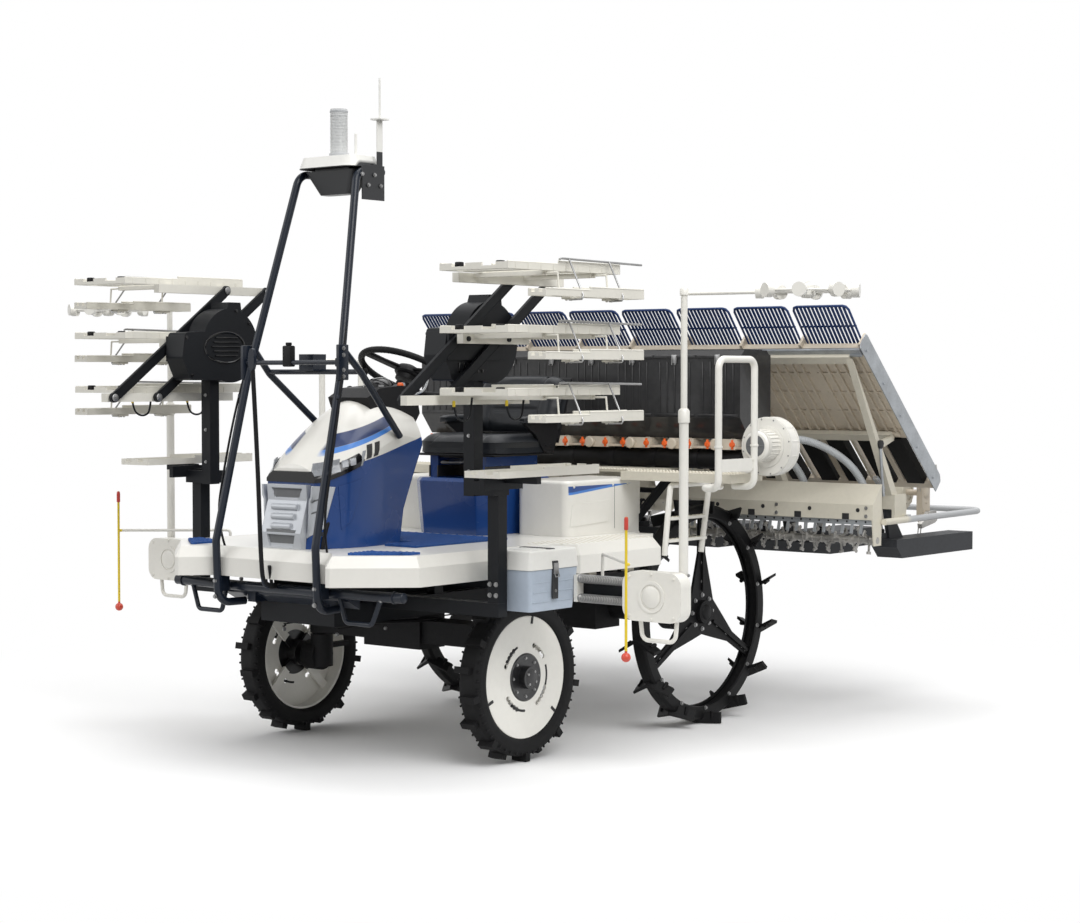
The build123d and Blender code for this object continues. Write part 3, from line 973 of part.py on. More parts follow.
# ---------------------------------------------------------------- planting unit
BEAM_X = (UNIT_X - 130, UNIT_X - 70)
BEAM_Z = (900, 960)
CASE_W = 60
ROTOR_X = REAR_X - 1195
ROTOR_Z = 945
ROTOR_R = 105
SHAFT_R = 14
CASE_ROWS = (-3, -1, 1, 3)    # planting cases, in row pitches from the middle
BOARD_X = (REAR_X - 530, REAR_X - 450)
BOARD_Z = (794, 1014)
BOARD_GAP = 215               # half the gap in the middle for the lift links
BOARD_T = 5
BOARD_END = UNIT_HALF - 17
LEVEL_X = REAR_X - 492
LEVEL_Z = 775
LEVEL_R = 60
GUARD_X = REAR_X - REAR_OVERHANG + 15
GUARD_Z = 862
GUARD_R = 14
TABLE_TOP = (REAR_X - 342, 1614)
TABLE_FOOT = (REAR_X - 985, 1000)
TABLE_T = 26
TABLE_SHIFT = 140             # travel of the table to each side
table_dx = TABLE_TOP[0] - TABLE_FOOT[0]
table_dz = TABLE_TOP[1] - TABLE_FOOT[1]
TABLE_LENGTH = (table_dx ** 2 + table_dz ** 2) ** 0.5
TABLE_ANGLE = degrees(atan2(table_dz, table_dx))
TABLE_PLANE = Plane(origin=(TABLE_FOOT[0], 0, TABLE_FOOT[1]), x_dir=(table_dx, 0, table_dz), z_dir=(0, 1, 0))
# local x runs up the table, local y towards the front and down, z to the left
BELT_LENGTH = 330             # of the table's foot, where the feed belts run
SHOE_Y = TABLE_T + 14         # face on which the table slides
TABLE_RAILS = (BELT_LENGTH + 15, TABLE_LENGTH - 60)


def on_table(points, y_low, y_high, mode=Mode.ADD):
    """Extrude an outline given along the table and out from it, between two widths."""
    with BuildSketch(TABLE_PLANE.offset(y_low)) as face:
        Polygon(*points, align=None)
    extrude(face.sketch, y_high - y_low, mode=mode)


with BuildPart() as planting_frame:
    # hitch: two uprights with the rear pins of the lift links
    for side in SIDES:
        inner = LINK_Y + LINK_T / 2 + 6
        y = sorted((side * inner, side * (inner + 12)))
        side_plate([(UNIT_X + 26, UNIT_LOW_Z - 26), (UNIT_X + 26, UNIT_HIGH_Z + 30), (UNIT_X - 50, UNIT_HIGH_Z + 30),
                    (BEAM_X[0], BEAM_Z[1]), (BEAM_X[0], BEAM_Z[0]), (UNIT_X - 20, UNIT_LOW_Z - 26)], *y)
        disc((UNIT_X, side * (LINK_Y + 4), UNIT_LOW_Z), LINK_PIN_D / 2, LINK_T + 32)
        disc((UNIT_X, side * (LINK_Y + 4), UNIT_HIGH_Z), LINK_PIN_D / 2, LINK_T + 32)
    # main beam
    block(BEAM_X, (-UNIT_HALF + 45 + GAP, UNIT_HALF - 45 - GAP), BEAM_Z)
    # planting cases back to the rotors
    back = BEAM_X[0] - GAP
    for row in CASE_ROWS:
        y = row * ROW_PITCH
        side_plate([(back, 905), (back, 955), (BEAM_X[0] - 120, 900), (ROTOR_X + 60, 900),
                    (ROTOR_X + 40, ROTOR_Z + 45), (ROTOR_X - 45, ROTOR_Z + 45), (ROTOR_X - 45, ROTOR_Z - 45),
                    (ROTOR_X + 60, 830), (BEAM_X[0] - 160, 830)], y - CASE_W / 2, y + CASE_W / 2)
        disc((ROTOR_X, y, ROTOR_Z), SHAFT_R + RUNNING, CASE_W + 2, mode=Mode.SUBTRACT)
    # the two rails on which the table slides, and their posts
    for x in TABLE_RAILS:
        on_table([(x, SHOE_Y + GAP), (x + 40, SHOE_Y + GAP), (x + 40, SHOE_Y + 22), (x, SHOE_Y + 22)],
                 -UNIT_HALF + 60, UNIT_HALF - 60)
    for row in (-3.8, -2, 0, 2, 3.8):
        y = row * ROW_PITCH
        low, high = ([TABLE_PLANE.from_local_coords((x + along, SHOE_Y + 22 + GAP, 0)) for along in (8, 32)]
                     for x in TABLE_RAILS)
        side_plate([(BEAM_X[0] + 10, BEAM_Z[1] + GAP), (BEAM_X[1], BEAM_Z[1] + GAP), (high[1].X, high[1].Z),
                    (high[0].X, high[0].Z)], y - 16, y + 16)
        side_plate([(low[0].X, low[0].Z), (low[1].X, low[1].Z), (BEAM_X[1] + 120, low[0].Z - 8),
                    (BEAM_X[1] + 96, low[0].Z - 38)], y - 10, y + 10)
    # side brackets of the guard pipe that runs round the back
    for side in SIDES:
        block((BEAM_X[0] - 40, BEAM_X[1]), sorted((side * (UNIT_HALF - 45), side * (UNIT_HALF - 30))), (840, 965))

    bar([(REAR_X - 516, -UNIT_HALF, 854), (GUARD_X, -UNIT_HALF, GUARD_Z), (GUARD_X, UNIT_HALF, GUARD_Z),
         (REAR_X - 516, UNIT_HALF, 854)], GUARD_R, 90)
    for side in SIDES:
        block((BEAM_X[0] - 36, BEAM_X[0] - 4), sorted((side * (UNIT_HALF - 35), side * (UNIT_HALF - 4))), (845, 875))

    # board over the levelling rotor, split in the middle for the lift links
    for side in SIDES:
        y = sorted((side * BOARD_GAP, side * BOARD_END))
        side_plate([(BOARD_X[1], BOARD_Z[0] + 70), (BOARD_X[1] - BOARD_T, BOARD_Z[0] + 70),
                    (BOARD_X[1] - BOARD_T, BOARD_Z[0] + 132), (BOARD_X[0], BOARD_Z[1]),
                    (BOARD_X[0] + BOARD_T, BOARD_Z[1]), (BOARD_X[1], BOARD_Z[0] + 135)], *y)
        # beams forward from the main beam to the board
        for row in (1.5, 3.5):
            middle = side * row * ROW_PITCH
            block((BEAM_X[1] + GAP, BOARD_X[1] - 1), (middle - 15, middle + 15), (904, 925))
        # ends that carry the levelling rotor
        for edge in (BOARD_GAP, BOARD_END - 6):
            side_plate([(LEVEL_X - 30, LEVEL_Z - 22), (LEVEL_X + 30, LEVEL_Z - 22), (BOARD_X[1], BOARD_Z[0] + 70),
                        (BOARD_X[1], BOARD_Z[0] + 133), (BOARD_X[0] + BOARD_T, BOARD_Z[1] - 2), (LEVEL_X - 34, BOARD_Z[0] + 70)],
                       *sorted((side * edge, side * (edge + 6))))
        disc((LEVEL_X, side * (BOARD_GAP + 3), LEVEL_Z), SHAFT_R + RUNNING, 10, mode=Mode.SUBTRACT)
        disc((LEVEL_X, side * (BOARD_END - 3), LEVEL_Z), SHAFT_R + RUNNING, 10, mode=Mode.SUBTRACT)

STARS = 20                    # toothed discs on each half of the levelling rotor
TINE_W = 9
TINE_T = 7

with BuildPart() as rotor_star:
    with BuildSketch(Plane.XZ.offset(-TINE_T / 2)):
        Circle(SHAFT_R + 5)
        with PolarLocations(LEVEL_R / 2, 3):
            Rectangle(LEVEL_R, TINE_W)
        with PolarLocations(LEVEL_R - 6, 3):
            Rectangle(12, 3 * TINE_W)
    extrude(amount=TINE_T)

with BuildPart() as levelling_rotor:
    pitch = (BOARD_END - BOARD_GAP - 80) / (STARS - 1)
    places = [Location((LEVEL_X, side * (BOARD_GAP + 40 + star * pitch), LEVEL_Z), (0, star * 36, 0))
              for side in SIDES for star in range(STARS)]
    with Locations(*places):
        add(rotor_star.part)
    for side in SIDES:
        disc((LEVEL_X, side * (BOARD_GAP + BOARD_END) / 2, LEVEL_Z), SHAFT_R, BOARD_END - BOARD_GAP)

with BuildPart() as planting_rotors:
    for row in CASE_ROWS:
        disc((ROTOR_X, row * ROW_PITCH, ROTOR_Z), SHAFT_R, ROW_PITCH - 46)
        for side in SIDES:
            y = row * ROW_PITCH + side * (ROW_PITCH / 2 - 38)
            flat_bar((ROTOR_X, y, ROTOR_Z - ROTOR_R), (ROTOR_X, y, ROTOR_Z + ROTOR_R), 70, 30)
            for turn in (-1, 1):
                disc((ROTOR_X, y + side * 26, ROTOR_Z + turn * ROTOR_R), SHAFT_R, 24)

claw_pieces = {}
for turn, mark in zip((-1, 1), "ab"):
    with BuildPart() as claws:
        for row in CASE_ROWS:
            for side in SIDES:
                y = row * ROW_PITCH + side * (ROW_PITCH / 2 + 2)
                z = ROTOR_Z + turn * ROTOR_R
                side_plate([(ROTOR_X - 40, z - 20), (ROTOR_X - 30, z + 24), (ROTOR_X + 30, z + 24),
                            (ROTOR_X + 105, z - 30), (ROTOR_X + 100, z - 50), (ROTOR_X - 20, z - 30)], y - 11, y + 11)
                disc((ROTOR_X, y, z), SHAFT_R + RUNNING, 26, mode=Mode.SUBTRACT)
                for dy in (-8, 5):
                    side_plate([(ROTOR_X + 96, z - 34), (ROTOR_X + 104, z - 31), (ROTOR_X + 112, z - 95)],
                               y + dy, y + dy + 3)
    claw_pieces[f"claws_{mark}"] = claws

FLOAT_Z = (688, 770)
BOOT_H = 24                   # of the boot that each hose meets
BOOT_X = BEAM_X[1] - 14       # where each hose meets its boot
BOOT_SHIFT = 40               # the granules fall this far beside each row
FLOATS = ((-1130, 62, 62), (-600, 230, 100), (0, 230, 100), (600, 230, 100), (1130, 62, 62))

with BuildPart() as floats:
    for y, front_half, tail_half in FLOATS:      # middle, half width in front, half width at the tail
        plan_plate([(REAR_X - 640, y - front_half), (REAR_X - 900, y - front_half), (REAR_X - 960, y - tail_half),
                    (REAR_X - 1330, y - tail_half), (REAR_X - 1330, y + tail_half), (REAR_X - 960, y + tail_half),
                    (REAR_X - 900, y + front_half), (REAR_X - 640, y + front_half)], *FLOAT_Z)
    chamfer(floats.faces().group_by(Axis.X)[-1].edges().filter_by(Axis.Y).group_by(Axis.Z)[0], 50)
    for y, front_half, tail_half in FLOATS:
        # stay up to the planting cases' beam
        y_stay = y * 0.985
        side_plate([(REAR_X - 820, FLOAT_Z[1] - 2), (REAR_X - 700, FLOAT_Z[1] - 2), (BEAM_X[1] - 10, BEAM_Z[0] - GAP),
                    (BEAM_X[0] + 10, BEAM_Z[0] - GAP)], y_stay - 9, y_stay + 9)
    for row in range(ROWS):
        y = (row - (ROWS - 1) / 2) * ROW_PITCH
        y += BOOT_SHIFT if y > 0 else -BOOT_SHIFT
        block((BOOT_X - 26, BOOT_X + 26), (y - 24, y + 24), (FLOAT_Z[1], FLOAT_Z[1] + BOOT_H))

with BuildPart() as seedling_table:
    # tray floor of each lane, fins between them, with the belts' windows near the foot
    on_table([(BELT_LENGTH, 0), (TABLE_LENGTH, 0), (TABLE_LENGTH, TABLE_T), (BELT_LENGTH, TABLE_T)],
             -UNIT_HALF, UNIT_HALF)
    on_table([(0, 0), (40, 0), (40, TABLE_T), (0, TABLE_T)], -UNIT_HALF, UNIT_HALF)
    for fin in range(ROWS + 1):
        y = -UNIT_HALF + fin * ROW_PITCH
        half = 6
        shift = 0 if 0 < fin < ROWS else (half if fin == 0 else -half)
        on_table([(0, -34), (TABLE_LENGTH + 20, -34), (TABLE_LENGTH + 20, TABLE_T), (0, TABLE_T)],
                 y + shift - half, y + shift + half)
    for lane in range(ROWS):
        y = -UNIT_HALF + (lane + 0.5) * ROW_PITCH
        # rollers' bearer between the two belts and ribs under the floor
        on_table([(30, 4), (BELT_LENGTH + 10, 4), (BELT_LENGTH + 10, TABLE_T), (30, TABLE_T)], y - 14, y + 14)
    # slide shoes on the back
    for x in TABLE_RAILS:
        on_table([(x + 8, TABLE_T - 2), (x + 32, TABLE_T - 2), (x + 32, SHOE_Y), (x + 8, SHOE_Y)],
                 -UNIT_HALF + 30, UNIT_HALF - 30)

with BuildPart() as feed_belts:
    for lane in range(ROWS):
        for side in SIDES:
            y = -UNIT_HALF + (lane + 0.5) * ROW_PITCH + side * 70
            on_table([(40 + GAP, -4), (BELT_LENGTH - GAP, -4), (BELT_LENGTH - GAP, TABLE_T + 10),
                      (40 + GAP, TABLE_T + 10)], y - 42, y + 42)

GRILLE_RISE = (152, 182)      # run and rise of the grilles above the table's top

with BuildPart() as lane_grille:
    foot = tuple(TABLE_PLANE.from_local_coords((TABLE_LENGTH - 40, -5 - GAP, 0)))
    rise = (GRILLE_RISE[0], 0, GRILLE_RISE[1])
    with BuildSketch(Plane(origin=foot, x_dir=(0, 1, 0), z_dir=rise)):
        with GridLocations((ROW_PITCH - 44) / 8, 1, 9, 1):
            Circle(4)
    extrude(amount=(rise[0] ** 2 + rise[2] ** 2) ** 0.5)
    for share in (0, 0.97):
        disc((foot[0] + share * rise[0], 0, foot[2] + share * rise[2]), 5, ROW_PITCH - 30)

with BuildPart() as table_grilles:
    with Locations(*[(0, (lane - (ROWS - 1) / 2) * ROW_PITCH, 0) for lane in range(ROWS)]):
        add(lane_grille.part)

# ---------------------------------------------------------------- air hoses
HOSE_R = 17


def hose(points):
    """Sweep a hose through points, with arcs as wide as the shorter run beside each bend allows."""
    runs = [Vector(*end) - Vector(*start) for start, end in zip(points, points[1:])]
    radii = [0.45 * min(before.length, after.length) / tan(radians(before.get_angle(after) / 2))
             for before, after in zip(runs, runs[1:])]
    bar(points, HOSE_R, radii)


with BuildPart() as air_hoses:
    outlet_z = DUCT_Z + DUCT_R + 22
    for row in range(ROWS):
        meter_y = -HOPPER_HALF + (row + 0.5) * HOPPER_PITCH
        y = (row - (ROWS - 1) / 2) * ROW_PITCH
        y += BOOT_SHIFT if y > 0 else -BOOT_SHIFT
        hose([(METER_X[0] - 35 - GAP, meter_y, outlet_z), (METER_X[0] - 110, meter_y, outlet_z),
              (REAR_X - 345, (meter_y + y) / 2, outlet_z + 30), (BOARD_X[0] - 26, y, BOARD_Z[1] + 40),
              (UNIT_X - 1, y, UNIT_LOW_Z + 5), (BOOT_X, y, FLOAT_Z[1] + BOOT_H + 56),
              (BOOT_X, y, FLOAT_Z[1] + BOOT_H + GAP)])

# ---------------------------------------------------------------- files
pieces = {
    "main_frame": main_frame, "axle_beams": axle_beams, "engine_block": engine_block, "floor_deck": floor_deck,
    "deck_mats": deck_mats, "hood_sides": hood_sides, "hood_top": hood_top, "front_grille": front_grille,
    "headlamps": headlamps, "dashboard": dashboard, "steering_wheel": steering_wheel, "seat_base": seat_base,
    "seat": seat, "side_covers": side_covers, "rear_platform": rear_platform, "front_bumper": front_bumper,
    "front_mast": front_mast, "receiver_housing": receiver_housing,
    "signal_tower": signal_tower, "toolbox": toolbox, "toolbox_lid": toolbox_lid, "rack_posts": rack_posts,
    "rack_fixed_trays": rack_fixed_trays, "marker_stands": marker_stands,
    "side_markers": side_markers, "hopper_bank": hopper_bank, "metering_units": metering_units,
    "air_duct": air_duct, "blower": blower, "handrails": handrails, "lower_links": lower_links,
    "upper_link": upper_link, "planting_frame": planting_frame, "levelling_rotor": levelling_rotor, "planting_rotors": planting_rotors,
    "floats": floats, "seedling_table": seedling_table, "feed_belts": feed_belts,
    "table_grilles": table_grilles, "air_hoses": air_hoses,
    **rack_pieces, **marker_pieces, **wheel_pieces, **claw_pieces}

for name, piece in pieces.items():
    save(piece, name)
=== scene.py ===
"""Looks of an eight-row riding rice transplanter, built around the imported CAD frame.

X runs forward, Y to the left and Z up.  Sizes and places are in millimetres in the frame of the
CAD, and MM turns them into Blender's metres; material coordinates are in metres.
"""
import json
from functools import cache
from math import atan2, cos, exp, pi, radians, sin

import bmesh
import bpy
from mathutils import Matrix, Vector
from mathutils.bvhtree import BVHTree


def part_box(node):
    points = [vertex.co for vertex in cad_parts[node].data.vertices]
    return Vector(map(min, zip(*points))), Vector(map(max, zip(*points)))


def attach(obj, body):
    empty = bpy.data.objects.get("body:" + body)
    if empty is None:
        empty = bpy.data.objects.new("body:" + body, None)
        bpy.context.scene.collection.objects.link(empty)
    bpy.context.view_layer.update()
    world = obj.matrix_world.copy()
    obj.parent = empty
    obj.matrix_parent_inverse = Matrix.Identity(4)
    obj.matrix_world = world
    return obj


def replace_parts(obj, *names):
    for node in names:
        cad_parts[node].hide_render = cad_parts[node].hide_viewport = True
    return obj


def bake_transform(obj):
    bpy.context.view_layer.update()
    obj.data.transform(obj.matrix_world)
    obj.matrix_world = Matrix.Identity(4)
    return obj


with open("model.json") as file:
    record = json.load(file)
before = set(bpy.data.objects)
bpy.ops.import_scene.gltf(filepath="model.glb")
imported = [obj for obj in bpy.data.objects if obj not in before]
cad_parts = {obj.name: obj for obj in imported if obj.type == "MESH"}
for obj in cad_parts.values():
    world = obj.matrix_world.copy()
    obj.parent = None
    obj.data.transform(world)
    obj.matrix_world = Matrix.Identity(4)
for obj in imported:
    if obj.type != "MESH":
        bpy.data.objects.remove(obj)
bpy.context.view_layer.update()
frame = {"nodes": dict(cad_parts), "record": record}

MM = 0.001
SIDES = (-1, 1)               # right, left
HANDS = {-1: "right", 1: "left"}
AHEAD, LEFT, UP, DOWN = (1, 0, 0), (0, 1, 0), (0, 0, 1), (0, 0, -1)


def box_mm(node):
    """The lowest and the highest corner of a CAD node, in millimetres."""
    low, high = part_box(node)
    return low / MM, high / MM


# ---------------------------------------------------------------- material nodes
def node_of(tree, kind, inputs=None, **settings):
    """Add a shader node with its settings and its input values or links."""
    made = tree.nodes.new(kind)
    for key, value in settings.items():
        setattr(made, key, value)
    for key, value in (inputs or {}).items():
        if isinstance(value, bpy.types.NodeSocket):
            tree.links.new(value, made.inputs[key])
        else:
            made.inputs[key].default_value = value
    return made


def maths(tree, operation, a, b=0.0):
    """One Math node; a and b are numbers or sockets."""
    return node_of(tree, "ShaderNodeMath", {0: a, 1: b}, operation=operation).outputs[0]


def times(tree, first, *others):
    """The product of numbers or sockets."""
    for other in others:
        first = maths(tree, "MULTIPLY", first, other)
    return first


def mixed(tree, share, a, b):
    """Mix two colours by a share."""
    return node_of(tree, "ShaderNodeMix", {0: share, 6: a, 7: b}, data_type="RGBA").outputs[2]


def rgba(colour, gain=1.0):
    """A colour with full alpha, made lighter or darker by gain."""
    return tuple(min(1.0, c * gain) for c in colour) + (1.0,)


def ramp(tree, value, low, high):
    """Spread a value between low and high over 0 to 1."""
    return node_of(tree, "ShaderNodeMapRange", {0: value, 1: low, 2: high}, clamp=True).outputs[0]


def reach(tree, place, keep, centre=(0, 0, 0)):
    """Distance from a centre along the kept axes only."""
    flat = node_of(tree, "ShaderNodeVectorMath", {0: place, 1: keep}, operation="MULTIPLY").outputs[0]
    return node_of(tree, "ShaderNodeVectorMath", {0: flat, 1: centre}, operation="DISTANCE").outputs["Value"]


def noise(tree, place, scale, detail=3.0, stretch=None):
    """A noise value over the shared frame; stretch squeezes it along an axis."""
    if stretch:
        place = node_of(tree, "ShaderNodeMapping", {"Vector": place, "Scale": stretch}).outputs[0]
    return node_of(tree, "ShaderNodeTexNoise", {"Vector": place, "Scale": scale, "Detail": detail}).outputs[0]


def pores(tree, place, scale):
    """Round cells like those of leathercloth."""
    return node_of(tree, "ShaderNodeTexVoronoi", {"Vector": place, "Scale": scale}).outputs["Distance"]


def grid(tree, place, scale, low, high):
    """Square cells in rows."""
    cells = node_of(tree, "ShaderNodeTexVoronoi", {"Vector": place, "Scale": scale, "Randomness": 0.0},
                    distance="CHEBYCHEV").outputs["Distance"]
    return ramp(tree, cells, low, high)


def waves(tree, place, scale, direction):
    """Even flutes along one axis."""
    return node_of(tree, "ShaderNodeTexWave", {"Vector": place, "Scale": scale}, bands_direction=direction).outputs[1]


class Finish:
    """A principled material with mottled colour, fine grain and worn or rounded edges."""

    def __init__(self, name, colour, rough, metallic=0.0, coat=0.0, mottle=0.06, mottle_scale=5.0, grain=260.0,
                 grain_depth=0.1, edge=0.12, edge_gain=1.35, round_mm=1.2, spec=0.5, clear=0.0):
        self.material = bpy.data.materials.new(name)
        self.material.use_nodes = True
        self.tree = tree = self.material.node_tree
        self.shader = tree.nodes["Principled BSDF"]
        self.place = node_of(tree, "ShaderNodeTexCoord").outputs["Object"]
        big = noise(tree, self.place, mottle_scale, 4.0)
        small = noise(tree, self.place, mottle_scale * 11)
        blend = maths(tree, "ADD", times(tree, big, 0.65), times(tree, small, 0.35))
        base = mixed(tree, ramp(tree, blend, 0.35, 0.65), rgba(colour, 1 - mottle), rgba(colour, 1 + mottle))
        rounded = node_of(tree, "ShaderNodeBevel", {"Radius": round_mm * MM}, samples=4).outputs[0]
        flat = node_of(tree, "ShaderNodeNewGeometry").outputs["Normal"]
        agree = node_of(tree, "ShaderNodeVectorMath", {0: rounded, 1: flat}, operation="DOT_PRODUCT").outputs["Value"]
        worn = times(tree, ramp(tree, maths(tree, "SUBTRACT", 1.0, agree), 0.02, 0.25), edge)
        self.colour = mixed(tree, worn, base, rgba([c * edge_gain + 0.006 for c in colour]))
        self.rough = maths(tree, "ADD", rough - 0.05, times(tree, big, 0.1))
        self.normal = rounded
        for key, value in (("Metallic", metallic), ("Coat Weight", coat), ("Coat Roughness", 0.08),
                           ("Specular IOR Level", spec), ("Transmission Weight", clear)):
            self.shader.inputs[key].default_value = value
        self.bump(noise(tree, self.place, grain, 2.0), grain_depth, 0.0004)

    def link(self):
        """Join the colour, roughness and normal to the shader."""
        for key, value in (("Base Color", self.colour), ("Roughness", self.rough), ("Normal", self.normal)):
            self.tree.links.new(value, self.shader.inputs[key])

    def axis(self, name):
        """One coordinate of the shared frame, in metres."""
        return node_of(self.tree, "ShaderNodeSeparateXYZ", {0: self.place}).outputs[name]

    def off_middle(self):
        """Distance from the machine's middle plane."""
        return maths(self.tree, "ABSOLUTE", self.axis("Y"))

    def rise(self, slope, base):
        """Height over a line that climbs by slope as X grows."""
        fall = times(self.tree, self.axis("X"), slope)
        return maths(self.tree, "SUBTRACT", maths(self.tree, "SUBTRACT", self.axis("Z"), fall), base)

    def band(self, value, low, high, colour, where=1.0, soft=0.0008):
        """Paint a colour where a value lies between two limits, and where a second share allows it."""
        share = times(self.tree, ramp(self.tree, value, low - soft, low + soft),
                      ramp(self.tree, value, high + soft, high - soft), where)
        self.colour = mixed(self.tree, share, self.colour, rgba(colour))
        self.link()

    def bump(self, height, strength, distance):
        """Lay one more bump over the normal."""
        self.normal = node_of(self.tree, "ShaderNodeBump", {
            "Height": height, "Strength": strength, "Distance": distance, "Normal": self.normal}).outputs[0]
        self.link()


# ---------------------------------------------------------------- finishes
WAIST = (1561, 1108, -0.2163)  # x and height of the line under the hood's white top, and its slope
FRONT_HUB, REAR_HUB = (897, 590, 325), (-303, 605, 475)
UNIT_SIDE = 1.183             # the guard pipe runs outside the end posts
BLACK = (0.009, 0.01, 0.012)
BARE_STEEL = (0.42, 0.43, 0.44)


def paint_hood(made):
    """A dark and a light blue stripe over each flank."""
    tree, x = made.tree, made.axis("X")
    where = times(tree, ramp(tree, made.off_middle(), 0.07, 0.085), ramp(tree, x, 1.47, 1.44),
                  ramp(tree, x, 1.12, 1.135))
    front, height, slope = WAIST
    taper = times(tree, maths(tree, "SUBTRACT", x, 1.13), 0.1)
    over = maths(tree, "ADD", made.rise(slope, (height - slope * front) * MM), taper)
    made.band(over, 0.078, 0.094, (0.06, 0.22, 0.62), where)
    made.band(over, 0.094, 0.132, (0.012, 0.03, 0.11), where)


def paint_covers(made):
    """A two-blue stripe that ends in a point."""
    where = times(made.tree, ramp(made.tree, made.off_middle(), 0.478, 0.482),
                  ramp(made.tree, made.axis("Z"), 1.0335, 1.0325))
    over = made.rise(-0.0859, 1.0358)
    made.band(over, 0, 0.2, (0.05, 0.2, 0.6), where)
    made.band(over, 0.01, 0.2, (0.016, 0.06, 0.24), where)


def paint_rim(made):
    """A black hub."""
    off_hub = reach(made.tree, made.place, (1, 0, 1), (FRONT_HUB[0] * MM, 0, FRONT_HUB[2] * MM))
    made.band(off_hub, -1, 0.093, (0.009, 0.009, 0.01))


def paint_receiver(made):
    """A black case under the white lid, and a black plate beside it."""
    made.band(made.axis("Z"), 1.9, 2.2735, BLACK)
    made.band(made.axis("Z"), 2.2, 2.33, BLACK, ramp(made.tree, made.axis("Y"), 0.145, 0.15))


def paint_unit(made):
    """A guard pipe of bare steel at the back."""
    made.band(made.axis("X"), -5, -1.57, BARE_STEEL)
    where = times(made.tree, ramp(made.tree, made.axis("X"), -1.0, -1.04), ramp(made.tree, made.axis("Z"), 0.885, 0.88))
    made.band(made.off_middle(), UNIT_SIDE, 5, BARE_STEEL, where)


def paint_rod(made):
    """A red tip and a white arm."""
    made.band(made.axis("Z"), 0.4, 0.515, (0.6, 0.06, 0.03))
    made.band(made.axis("X"), -5, 1.208, (0.77, 0.755, 0.7))


